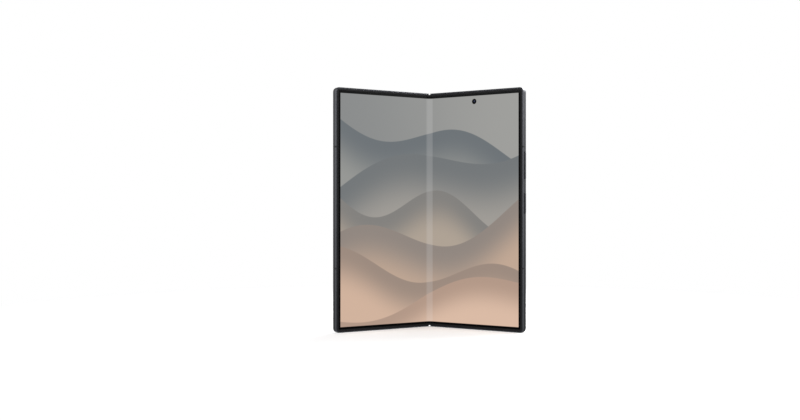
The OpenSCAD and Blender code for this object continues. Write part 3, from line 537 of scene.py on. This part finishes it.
lit_film, film, film_shader = finish("display_film", "#020203", 0.0, 0.25,
    {"Specular IOR Level": 0.05})
sheet_map = add_node(film, "ShaderNodeUVMap", uv_map="sheet")
sheet_axes = add_node(film, "ShaderNodeSeparateXYZ", {0: sheet_map.outputs["UV"]})
across, up = sheet_axes.outputs["X"], sheet_axes.outputs["Y"]
backdrop = add_node(film, "ShaderNodeMapRange", {"Value": across, "From Min": -backdrop_reach,
    "From Max": backdrop_reach}, interpolation_type="SMOOTHSTEP")
picture = add_node(film, "ShaderNodeMix", {0: backdrop.outputs["Result"],
    6: linear(screen_left), 7: linear(screen_right)}, data_type="RGBA").outputs[2]
for height, slope, swing, wave, shift, fade, crest_tone, foot_tone in hills:
    phase = add_node(film, "ShaderNodeMath", {0: across, 1: 2 * np.pi / wave, 2: shift},
        operation="MULTIPLY_ADD")
    sine = add_node(film, "ShaderNodeMath", {0: phase.outputs[0]}, operation="SINE")
    swung = add_node(film, "ShaderNodeMath", {0: sine.outputs[0], 1: swing, 2: height},
        operation="MULTIPLY_ADD")
    crest = add_node(film, "ShaderNodeMath", {0: across, 1: slope, 2: swung.outputs[0]},
        operation="MULTIPLY_ADD")
    below = add_node(film, "ShaderNodeMath", {0: crest.outputs[0], 1: up},
        operation="SUBTRACT").outputs[0]
    covered = add_node(film, "ShaderNodeMapRange", {"Value": below, "From Min": -crest_blur,
        "From Max": crest_blur}, interpolation_type="SMOOTHSTEP")
    depth_down = add_node(film, "ShaderNodeMapRange", {"Value": below, "From Max": fade},
        interpolation_type="SMOOTHERSTEP")
    tone = add_node(film, "ShaderNodeMix", {0: depth_down.outputs["Result"],
        6: linear(crest_tone), 7: linear(foot_tone)}, data_type="RGBA")
    picture = add_node(film, "ShaderNodeMix", {0: covered.outputs["Result"], 6: picture,
        7: tone.outputs[2]}, data_type="RGBA").outputs[2]
# A painted reflection at the crease: a paler band, as wide as the arc, whose right side ends more
# sharply than its left. It is mixed towards white in the picture's colour, where the bent film
# would mirror the light.
reflection_edges = [add_node(film, "ShaderNodeMapRange", {"Value": across, "From Min": clear,
    "From Max": reflecting}, interpolation_type="SMOOTHSTEP").outputs["Result"]
    for clear, reflecting in (reflection_left, reflection_right)]
crease_reflection = add_node(film, "ShaderNodeMath", {0: reflection_edges[0], 1: reflection_edges[1]}, operation="MULTIPLY")
reflection_share = add_node(film, "ShaderNodeMath", {0: crease_reflection.outputs[0], 1: reflection_level},
    operation="MULTIPLY")
picture = add_node(film, "ShaderNodeMix", {0: reflection_share.outputs[0], 6: picture,
    7: (1, 1, 1, 1)}, data_type="RGBA").outputs[2]
lit = []
for reading, limit in ((across, lit_edge * sheet_scale), (up, lit_half_height * sheet_scale)):
    size_of = add_node(film, "ShaderNodeMath", {0: reading}, operation="ABSOLUTE")
    lit.append(add_node(film, "ShaderNodeMapRange", {"Value": size_of.outputs[0],
        "From Min": limit + border_blur, "From Max": limit - border_blur}).outputs["Result"])
lit_area = add_node(film, "ShaderNodeMath", {0: lit[0], 1: lit[1]}, operation="MULTIPLY")
shown = add_node(film, "ShaderNodeMix", {0: lit_area.outputs[0], 6: (0, 0, 0, 1), 7: picture},
    data_type="RGBA")
film.links.new(shown.outputs[2], film_shader.inputs["Emission Color"])
film_shader.inputs["Emission Strength"].default_value = screen_strength

# The first row lies close to the crease, so that both halves have the same normal there. The
# rows are narrow where the display bends.
crease_start = np.array([0, 0.01, 0.2]) * MM
narrow_end, wide_start = 8 * MM, 8.5 * MM
crease_rows = np.concatenate([crease_start[:2], np.linspace(crease_start[2], narrow_end, 40),
    lines(wide_start, display_end, display_step)])
camera_hole = (hole_u - arc_end_u + arc_length, hole_z, hole_window, hole_radius)
for side, half, holes in ((1, "right", [camera_hole]), (-1, "left", [])):
    points, faces = plate(lambda s, d, z: on_display(side, s, d, z), 0, display_end,
        display_inset, body_height - display_inset, corner_radius - display_inset,
        display_thickness, film_edge, display_step, holes, crease_rows)
    sheet = lay_mesh(half + "_display_sheet", points, faces, lit_film)
    write_map(sheet)
    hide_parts(half + "_display", "display_fold")
    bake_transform(sheet)

# ---- Crease strips ----
# Short black strips of the bezel's polymer that carry the border across the crease, at the top
# and at the bottom. They are glued to the display alone, so they bend with it.

strip_end = 4.15 * MM - arc_end_u + arc_length
strip_front, strip_back = -0.12 * MM, -0.02 * MM
strip_outer, strip_inner = 0.95 * MM, 2.1 * MM


def ribbon(front, back, low, high):
    """Points and faces of a strip between two heights, from two rows of places in x and y:
    four long rows of points are joined round, and a quad closes each end."""
    rows = [np.column_stack([row, np.full(len(row), z)])
        for row, z in ((front, low), (front, high), (back, high), (back, low))]
    count = len(front)
    numbers = np.arange(4 * count).reshape(4, count)
    faces = [quads(numbers[k], numbers[(k + 1) % 4]) for k in range(4)]
    faces += [numbers[:, :1].T, numbers[::-1, -1:].T]
    return np.concatenate(rows), np.concatenate(faces)


for side, half in ((1, "right"), (-1, "left")):
    along = np.concatenate([crease_start[:2], np.linspace(crease_start[2], strip_end, 24)])
    front = on_display(side, along, strip_front, 0)[:, :2]
    back = on_display(side, along, strip_back, 0)[:, :2]
    for end, heights in (("bottom", (strip_outer, strip_inner)),
            ("top", (body_height - strip_inner, body_height - strip_outer))):
        strip = lay_mesh(f"{half}_crease_strip_{end}", *ribbon(front, back, *heights),
            bezel_polymer)
        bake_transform(strip)

# ---- Inner camera ----
# A small camera that looks through the hole in the display: a square black body, a short
# barrel with a cone in its face, and a tiny coated lens.


def turned(name, side, u, z, profile, material, segments=96):
    """A turned piece on a half: a closed line of (radius, depth) points is carried round the
    line that goes through u and z, square to the half."""
    angle = np.linspace(0, 2 * np.pi, segments, endpoint=False)
    radius, depth = np.array(profile, float).T
    points = on_half(side, u + np.outer(np.cos(angle), radius), depth[None, :],
        z + np.outer(np.sin(angle), radius))
    numbers = np.arange(segments * len(profile)).reshape(segments, len(profile))
    around = np.concatenate([numbers, numbers[:1]])
    around = np.concatenate([around, around[:, :1]], 1)
    faces = np.stack([around[:-1, :-1], around[1:, :-1], around[1:, 1:], around[:-1, 1:]], -1)
    return lay_mesh(name, points, faces.reshape(-1, 4), material)


def dome(radius, height, rim_depth, back_depth):
    """Profile of a shallow lens: a quarter of an ellipse from its rim to its middle, then its
    flat back. It bulges towards the front, or with a height below zero towards the rear."""
    angle = np.linspace(0, np.pi / 2, 8)
    bulge = zip(radius * np.cos(angle), rim_depth - height * np.sin(angle))
    return [*bulge, (0, back_depth), (radius, back_depth)]


def camera_block(name, u, z, side_length, front, back):
    """A square camera body on the right half, with softly rounded edges."""
    half, thickness, radius = side_length / 2, back - front, 0.4 * MM
    near, far = u - half, u + half
    points, faces = plate(lambda s, d, up: on_half(1, s, front + d, up), near, far, z - half,
        z + half, radius, thickness, min(radius, thickness / 3), (far - near) / 3, [])
    block = lay_mesh(name, points, faces, camera_black)
    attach(block, "right_half")


# The lacquer is a deep matt black. The coated lens is near black with a blue shine from its
# tinted reflection. Its base colour is painted bluish where it faces the eye and a touch greener
# where it is seen aslant, a painted reflection of the coating.
camera_black = grained("matt_black_lacquer", "#020203", "#050506", 0.0, 0.55, 0.2 * MM,
    0.0001 * MM, {"Specular IOR Level": 0.08})
lens_coating, coating, coating_shader = finish("coated_lens", "#040509", 0.0, 0.05,
    {"Specular IOR Level": 0.8, "Specular Tint": linear("#9aa7dd")})
# Painted reflection: the base colour follows the viewing angle, as the coating's reflection
# would.
coating_facing = add_node(coating, "ShaderNodeLayerWeight", {"Blend": 0.45})
painted_coating_glint = add_node(coating, "ShaderNodeMix", {0: coating_facing.outputs["Facing"],
    6: linear("#0b0d18"), 7: linear("#0d1714")}, data_type="RGBA")
coating.links.new(painted_coating_glint.outputs[2], coating_shader.inputs["Base Color"])

# The barrel's radii and depths in millimetres: the lens's seat, the cone, the face with its
# broken edge, and the straight outside.
barrel_profile = np.array([(0, 0.50), (0.72, 0.50), (0.85, 0.30), (1.20, 0.22), (1.32, 0.15),
    (1.50, 0.15), (1.60, 0.23), (1.60, 1.45), (0, 1.45)]) * MM
barrel = turned("inner_camera_barrel", 1, hole_u, hole_z, barrel_profile, camera_black, 64)
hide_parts("inner_camera")
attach(barrel, "right_half")
inner_lens = turned("inner_camera_lens", 1, hole_u, hole_z,
    dome(0.7 * MM, 0.2 * MM, 0.46 * MM, 0.49 * MM), lens_coating, 48)
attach(inner_lens, "right_half")
camera_block("inner_camera_body", hole_u, hole_z, 6.4 * MM, 1.46 * MM, 3.3 * MM)

# ---- Rear glass ----
# Toughened glass, etched to a silky satin outside and printed cool dark grey inside. Its edge
# is ground round, and it lies flush in the frame.

glass_front = 3.6 * MM
fit_gap = 0.05 * MM
rail_u, rim_width = 5 * MM, 0.9 * MM
lens_u = half_width - 17.6 * MM
lens_heights = {"top": body_height - 15.4 * MM, "middle": body_height - 31.65 * MM,
    "bottom": body_height - 47.9 * MM}
barrel_radius = 4.5 * MM
bore_radius = barrel_radius + 0.2 * MM
flash_u, flash_z, flash_radius = half_width - 32 * MM, body_height - 24.4 * MM, 1.6 * MM


def glass_pane(name, node, side, half, edge, holes, material):
    """The pane that lies in the back of a half, from the hinge rail to the rim."""
    rim_edge = rim_width + fit_gap
    points, faces = plate(lambda u, d, z: on_half(side, u, glass_front + d, z),
        rail_u + fit_gap, half_width - rim_edge, rim_edge, body_height - rim_edge,
        corner_radius - rim_edge, frame_thickness - glass_front, edge, 4 * MM, holes)
    pane = lay_mesh(name, points, faces, material)
    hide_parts(node)
    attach(pane, half)
    return pane


rear_glass = grained("etched_glass", "#20202a", "#24242e", 0.0, 0.34, 0.3 * MM, 0.0005 * MM,
    {"Specular IOR Level": 0.42})
rear_holes = [(lens_u, z, 6 * MM, bore_radius) for z in lens_heights.values()]
rear_holes.append((flash_u, flash_z, 2.4 * MM, flash_radius + fit_gap))
rear_pane = glass_pane("rear_glass_pane", "rear_cover", 1, "right_half", 0.15 * MM, rear_holes,
    rear_glass)

# ---- Camera island ----
# A raised plate of milled aluminium with round ends, blasted and anodised cool grey. A highlight
# is painted on its chamfered edge, coloured lighter than the rest. It is glued on the rear glass,
# over the holes for the lenses.

island_metal = grained("blasted_aluminium", "#404049", "#464650", 1.0, 0.36, 0.3 * MM,
    0.001 * MM)
# Painted highlight on the island's chamfered edge.
paint_edge_highlight(island_metal, "#9a9ba2")
softened("camera_island", "right_half", 0.12 * MM, island_metal)

# ---- Rear lenses ----
# Each lens has a turned, polished ring whose bevel carries a painted highlight, a flat cover
# glass sunk in it, a black mask printed under the glass, and a stepped cone that leads down to
# the coated front lens.

ring_depth = frame_thickness + 1.2 * MM
ring_radius, glass_radius, lip_radius = 7.4 * MM, 6.65 * MM, 6.0 * MM
ring_height, seat_height, lip_height = 1.8 * MM, 0.6 * MM, 1.5 * MM
bevel_size, lip_bevel, glass_bevel = 0.34 * MM, 0.12 * MM, 0.08 * MM
glass_low, glass_high = seat_height + 0.1 * MM, seat_height + 0.85 * MM
mask_low, mask_high = seat_height + 0.02 * MM, seat_height + 0.06 * MM
barrel_top, barrel_floor = seat_height - 0.05 * MM, -1.05 * MM
cone_radius, cone_step, cone_drop, cone_land = 4.05 * MM, 0.65 * MM, 0.5 * MM, 0.5 * MM
front_lens_radius, front_lens_height = 2.0 * MM, 0.7 * MM
camera_side, camera_front = 11 * MM, 1.15 * MM

ring_metal, ring_tree, ring_shader = finish("turned_aluminium", "#5a5b62", 1.0, 0.18)
ring_noise = add_node(ring_tree, "ShaderNodeTexNoise", {
    "Vector": add_node(ring_tree, "ShaderNodeTexCoord").outputs["Object"], "Scale": 2500.0})
ring_tone = add_node(ring_tree, "ShaderNodeMix", {0: ring_noise.outputs["Fac"],
    6: linear("#43444a"), 7: linear("#55565e")}, data_type="RGBA")
ring_tree.links.new(ring_tone.outputs[2], ring_shader.inputs["Base Color"])
# Painted highlight: the ring's bevel is coloured lighter, as if it caught a line of light.
paint_edge_highlight(ring_metal, "#a4a5ac")
# With its antireflective coating a face mirrors a third of a percent, which a low IOR gives.
clear_glass = finish("antireflective_glass", "#b4b9c4", 0.0, 0.0,
    {"Transmission Weight": 1.0, "IOR": 1.12})[0]


def on_ring(radius, height):
    """A profile point of a lens: its height over the island as a depth on the half."""
    return radius, ring_depth + height


for place, z in lens_heights.items():
    profile = [on_ring(bore_radius, 0), on_ring(ring_radius, 0)]
    profile += [on_ring(ring_radius - bevel_size * (1 - np.cos(t)),
        ring_height - bevel_size * (1 - np.sin(t))) for t in np.linspace(0, np.pi / 2, 6)]
    profile += [on_ring(lip_radius + lip_bevel, ring_height),
        on_ring(lip_radius, ring_height - lip_bevel), on_ring(lip_radius, lip_height),
        on_ring(glass_radius + fit_gap, lip_height),
        on_ring(glass_radius + fit_gap, seat_height), on_ring(bore_radius, seat_height)]
    ring = turned(f"lens_{place}_ring", 1, lens_u, z, profile, ring_metal)
    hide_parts(f"lens_ring_{place}")
    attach(ring, "right_half")

    glass = turned(f"lens_{place}_window", 1, lens_u, z, [on_ring(0, glass_low),
        on_ring(glass_radius, glass_low), on_ring(glass_radius, glass_high - glass_bevel),
        on_ring(glass_radius - glass_bevel, glass_high), on_ring(0, glass_high)], clear_glass)
    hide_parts(f"lens_glass_{place}")
    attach(glass, "right_half")

    mask = turned(f"lens_{place}_mask", 1, lens_u, z, [
        on_ring(glass_radius, mask_high), on_ring(cone_radius, mask_high),
        on_ring(cone_radius, mask_low), on_ring(glass_radius, mask_low)], camera_black)
    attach(mask, "right_half")

    # The barrel's cone has three steps, which break up stray light.
    barrel_back = camera_front + 0.3 * MM
    profile = [(0, barrel_back), (barrel_radius, barrel_back),
        on_ring(barrel_radius, barrel_top), on_ring(cone_radius, barrel_top)]
    for step in range(3):
        radius = cone_radius - step * cone_step - 0.1 * MM
        height = barrel_top - (step + 1) * cone_drop
        profile += [on_ring(radius, height), on_ring(radius - cone_land, height)]
    profile += [on_ring(front_lens_radius + 0.1 * MM, barrel_floor), on_ring(0, barrel_floor)]
    cone = turned(f"lens_{place}_barrel", 1, lens_u, z, profile, camera_black)
    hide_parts(f"camera_{place}")
    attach(cone, "right_half")
    camera_block(f"lens_{place}_housing", lens_u, z, camera_side, camera_front,
        glass_front - fit_gap)

    lens_rim = ring_depth + barrel_floor + 0.05 * MM
    front_lens = turned(f"lens_{place}_front", 1, lens_u, z, dome(front_lens_radius,
        -front_lens_height, lens_rim, lens_rim - 0.03 * MM), lens_coating, 64)
    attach(front_lens, "right_half")

# ---- Flash ----
# A light behind a window of milky polycarbonate, moulded with the rings of a flat lens and
# glued into the rear glass.

flash_plastic = grained("milky_polycarbonate", "#b0aca0", "#bebaae", 0.0, 0.25, 0.4 * MM,
    0.001 * MM, {"Subsurface Weight": 0.1, "Subsurface Scale": 0.0005})
dress(flash_plastic, "flash_window")
flash_front = frame_thickness + 0.055 * MM
ridge_crest, ridge_foot, ridge_width = flash_front + 0.09 * MM, flash_front + 0.01 * MM, 0.22 * MM
ridges = [(1.5 * MM, flash_front)]
for radius in np.linspace(1.45, 0.25, 5) * MM:
    ridges += [(radius, ridge_crest), (radius - ridge_width, ridge_foot)]
ridges.append((0, flash_front))
flash_lens = turned("flash_lens", 1, flash_u, flash_z, ridges, flash_plastic)
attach(flash_lens, "right_half")

# ---- Keys and card tray ----
# Milled from the frame's alloy and anodised with it. The keys' edges are rounded for the finger.
# They sit sprung in slots of the frame, and the tray slides out of its own slot.

# The keys and tray share the frame's material, so the painted highlight also lands on their
# chamfers.
for key in ("volume_key", "side_key"):
    softened(key, key, 0.25 * MM, anodised_frame)
softened("card_tray", "card_tray", 0.08 * MM, anodised_frame)

# ---- Cover glass ----
# Polished glass over the cover display, which is switched off and looks black through it. A
# camera looks out through a clear round window near the top.

cover_camera_u = (rail_u + half_width - rim_width) / 2
cover_camera_z = body_height - 7 * MM
cover_gloss = grained("polished_black_glass", "#040405", "#060608", 0.0, 0.05, 2.0 * MM,
    0.0005 * MM, {"Specular IOR Level": 0.45})
window_radius, window_gap, window_bevel = 1.5 * MM, 0.03 * MM, 0.05 * MM
window_front, window_back = 3.95 * MM, 4.19 * MM
cover_pane = glass_pane("cover_glass_pane", "cover_glass", -1, "left_half", 0.12 * MM,
    [(cover_camera_u, cover_camera_z, 2.6 * MM, window_radius)], cover_gloss)
dress(cover_gloss, "cover_display")
dress(camera_black, "cover_camera")
window_rim = window_radius - window_gap
window = turned("cover_camera_window", -1, cover_camera_u, cover_camera_z, [
    (0, window_front), (window_rim, window_front), (window_rim, window_back - window_bevel),
    (window_rim - window_bevel, window_back), (0, window_back)], clear_glass, 64)
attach(window, "left_half")
cover_lens = turned("cover_camera_lens", -1, cover_camera_u, cover_camera_z,
    dome(0.8 * MM, -0.28 * MM, 3.6 * MM, 3.56 * MM), lens_coating, 48)
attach(cover_lens, "left_half")

# ---- Spine cover and its end caps ----
# The cover is extruded aluminium, drawn through a die that leaves fine lines along it, and
# anodised with the frames. The caps that close its ends are moulded nylon, press-fitted.

draw_lines = 0.25 * MM
spine_metal, spine, spine_shader = finish("drawn_aluminium", "#303136", 1.0, 0.3)
spine_spot = add_node(spine, "ShaderNodeMapping", {
    "Vector": add_node(spine, "ShaderNodeTexCoord").outputs["Object"], "Scale": (1, 1, 0.02)})
spine_grain = add_node(spine, "ShaderNodeTexNoise", {"Vector": spine_spot.outputs["Vector"],
    "Scale": 1 / draw_lines, "Detail": 2.0})
spine_tone = add_node(spine, "ShaderNodeMix", {0: spine_grain.outputs["Fac"],
    6: linear("#2c2d31"), 7: linear("#3a3b40")}, data_type="RGBA")
spine_gloss = add_node(spine, "ShaderNodeMapRange", {"Value": spine_grain.outputs["Fac"],
    "To Min": 0.24, "To Max": 0.36})
spine.links.new(spine_tone.outputs[2], spine_shader.inputs["Base Color"])
spine.links.new(spine_gloss.outputs["Result"], spine_shader.inputs["Roughness"])
dress(spine_metal, "spine_cover")
dress(band_nylon, "spine_end_caps")

# ---- Hinge ----
# Sintered steel brackets and arms turn on ground steel shafts, and stacks of spring discs press
# on them, so that the phone holds every angle. The discs are blued by their heat treatment.

hinge_steel = grained("ground_steel", "#8b8c8f", "#9b9ca0", 1.0, 0.24, 0.2 * MM, 0.001 * MM)
dress(hinge_steel, "right_hinge_shafts", "left_hinge_shafts")
sintered_steel = grained("sintered_steel", "#6d6e70", "#7f8082", 1.0, 0.42, 0.15 * MM,
    0.004 * MM)
dress(sintered_steel, "hinge_brackets", "right_hinge_arms", "left_hinge_arms")
spring_steel = grained("blued_spring_steel", "#3a4256", "#5d5546", 1.0, 0.32, 0.2 * MM,
    0.002 * MM)
dress(spring_steel, "torque_springs")

# ---- Ribbon cables ----
# Two printed ribbons of copper between amber films carry power and data through the spine.
# They run over the hinge in a loose arch, which in the phone opens and closes as it folds; here
# it is laid out once, for this opening.

polyimide, ribbon_tree, ribbon_shader = finish("polyimide_film", "#9a5a1c", 0.0, 0.3)
ribbon_place = add_node(ribbon_tree, "ShaderNodeSeparateXYZ", {
    0: add_node(ribbon_tree, "ShaderNodeTexCoord").outputs["Object"]})
track_pitch = 0.8 * MM
track = add_node(ribbon_tree, "ShaderNodeMath", {0: ribbon_place.outputs["Z"],
    1: 2 * np.pi / track_pitch}, operation="MULTIPLY")
track_wave = add_node(ribbon_tree, "ShaderNodeMath", {0: track.outputs[0]}, operation="SINE")
track_tone = add_node(ribbon_tree, "ShaderNodeMapRange", {"Value": track_wave.outputs[0],
    "From Min": -0.2, "From Max": 0.2})
track_mix = add_node(ribbon_tree, "ShaderNodeMix", {0: track_tone.outputs["Result"],
    6: linear("#7e4512"), 7: linear("#b5712c")}, data_type="RGBA")
ribbon_tree.links.new(track_mix.outputs[2], ribbon_shader.inputs["Base Color"])

ribbon_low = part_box("hinge_flex_cables")[0].z
ribbon_width = 12 * MM
ribbon_thickness = 0.1 * MM
ribbon_depth = axis_depth + 0.17 * MM
crown_y = axis_y + 1.6 * MM
# The route runs from the crown of the arch to the straight end on the half. It is a smooth
# line through the knots, made of cubics that share their slopes.
ends = on_half(1, np.array([4.3, 7.0, 9.2]) * MM, ribbon_depth, 0)[:, :2]
knots = np.concatenate([[(0, crown_y), (1.2 * MM, crown_y - 0.2 * MM),
    (2.2 * MM, axis_y + 0.75 * MM)], ends])
reach = np.concatenate([[0], np.cumsum(np.linalg.norm(np.diff(knots, axis=0), axis=1))])
slope = np.gradient(knots, reach, axis=0)
slope[0] = (1, 0)
along = np.linspace(0, reach[-1], 40)
step = np.clip(np.searchsorted(reach, along, side="right") - 1, 0, len(reach) - 2)
span = (reach[step + 1] - reach[step])[:, None]
t = ((along - reach[step]) / span[:, 0])[:, None]
route = ((2 * t**3 - 3 * t**2 + 1) * knots[step] + (t**3 - 2 * t**2 + t) * span * slope[step]
    + (3 * t**2 - 2 * t**3) * knots[step + 1] + (t**3 - t**2) * span * slope[step + 1])
run = np.gradient(route, axis=0)
normal = np.stack([-run[:, 1], run[:, 0]], -1) / np.linalg.norm(run, axis=1)[:, None]
for side, half in ((1, "right"), (-1, "left")):
    front = route * (side, 1)
    back = front + normal * (side, 1) * ribbon_thickness
    for end, low in (("low", ribbon_low), ("high", body_height - ribbon_low - ribbon_width)):
        cable = lay_mesh(f"{half}_ribbon_{end}", *ribbon(front, back, low, low + ribbon_width),
            polyimide)
        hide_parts("hinge_flex_cables")
        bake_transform(cable)

# ---- Support plates, wing plates and screws ----
# Rolled stainless sheet, cut by laser: stiff plates under the flat parts of the display, and
# thin wings that carry it towards the crease. The screws are hardened and plated black.

plate_metal = grained("rolled_stainless_sheet", "#7f8185", "#8e9094", 1.0, 0.3, 0.3 * MM,
    0.002 * MM)
dress(plate_metal, "right_support_plate", "left_support_plate", "right_wing_plate",
    "left_wing_plate")
screw_steel = grained("black_plated_steel", "#26272a", "#34353a", 1.0, 0.3, 0.15 * MM,
    0.001 * MM)
dress(screw_steel, "right_screws", "left_screws")

# ---- Shield cans, socket, card reader and motor ----
# All are folded or drawn from thin sheet that is tinned or nickel-plated, and soldered to the
# boards by their feet. The plating has a soft, slightly mottled shine.

tinned_sheet = grained("tinned_sheet", "#8f9090", "#a2a3a3", 1.0, 0.26, 0.4 * MM, 0.002 * MM)
dress(tinned_sheet, "card_reader", "shield_can_large", "shield_can_small")
nickel_plate = grained("nickel_plated_steel", "#8d8a84", "#9c9993", 1.0, 0.2, 0.3 * MM,
    0.001 * MM)
dress(nickel_plate, "usb_socket", "vibration_motor")

# ---- Boards ----
# Glass-fibre laminate under green solder mask, through which the copper tracks show as
# lighter lines on a fine grid.

solder_mask, board_tree, board_shader = finish("solder_mask", "#123a28", 0.0, 0.3)
board_tracks = add_node(board_tree, "ShaderNodeTexBrick", {
    "Vector": add_node(board_tree, "ShaderNodeTexCoord").outputs["Object"], "Scale": 700.0,
    "Color1": linear("#0f3323"), "Color2": linear("#164331"), "Mortar": linear("#23593f"),
    "Mortar Size": 0.03})
board_tree.links.new(board_tracks.outputs["Color"], board_shader.inputs["Base Color"])
dress(solder_mask, "mainboard", "charging_board", "left_board")

# ---- Batteries ----
# Lithium cells in soft foil pouches, so their edges are round, with a dark satin wrap. They
# are held in the frames by pull tape.

battery_wrap = grained("dark_battery_wrap", "#191a1c", "#222326", 0.0, 0.42, 0.6 * MM,
    0.01 * MM, {"Specular IOR Level": 0.4})
softened("right_battery", "right_half", 0.5 * MM, battery_wrap)
softened("left_battery", "left_half", 0.5 * MM, battery_wrap)

# ---- Charging coil ----
# Enamelled copper wire, wound flat in one layer and glued behind the rear glass. Each turn
# shows as a half-round ridge.

coil_low, coil_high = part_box("charging_coil")
coil_middle = (coil_low + coil_high) / 2
coil_out = (coil_middle.x - axis_x) * np.cos(fold) - (coil_middle.y - axis_y) * np.sin(fold)
coil_depth = axis_depth + (coil_middle.x - axis_x) * np.sin(fold) + (
    coil_middle.y - axis_y) * np.cos(fold)
coil_radius, coil_hole_radius = (coil_high.z - coil_low.z) / 2, 10 * MM
coil_thickness, coil_turns = 0.15 * MM, 14
turn_pitch = (coil_radius - coil_hole_radius) / coil_turns
winding = np.linspace(0, coil_turns, coil_turns * 6 + 1)
ridge = coil_thickness / 2 * np.abs(np.sin(np.pi * winding))
enamelled_copper = grained("enamelled_copper", "#8f5a38", "#a96c44", 1.0, 0.3, 0.3 * MM,
    0.002 * MM)
coil_front, coil_back = coil_depth - coil_thickness / 2, coil_depth + ridge
coil = turned("charging_coil_winding", 1, axis_x + coil_out, coil_middle.z,
    [(coil_radius, coil_front), (coil_hole_radius, coil_front)]
    + list(zip(coil_hole_radius + winding * turn_pitch, coil_back)), enamelled_copper)
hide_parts("charging_coil")
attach(coil, "right_half")

# ---- Key switches ----
# Flexible strips of amber film that carry a switch under each key. They are glued inside the
# free edge of the frame.

dress(polyimide, "key_switches")

# ---- Speakers ----
# Boxes of black moulded nylon with a little glass fibre, which leaves them matt. They are
# sealed to the frames behind the sound holes.

speaker_nylon = grained("glass_filled_nylon", "#0d0d0e", "#141415", 0.0, 0.55, 0.3 * MM,
    0.004 * MM)
dress(speaker_nylon, "bottom_speaker", "earpiece_speaker")
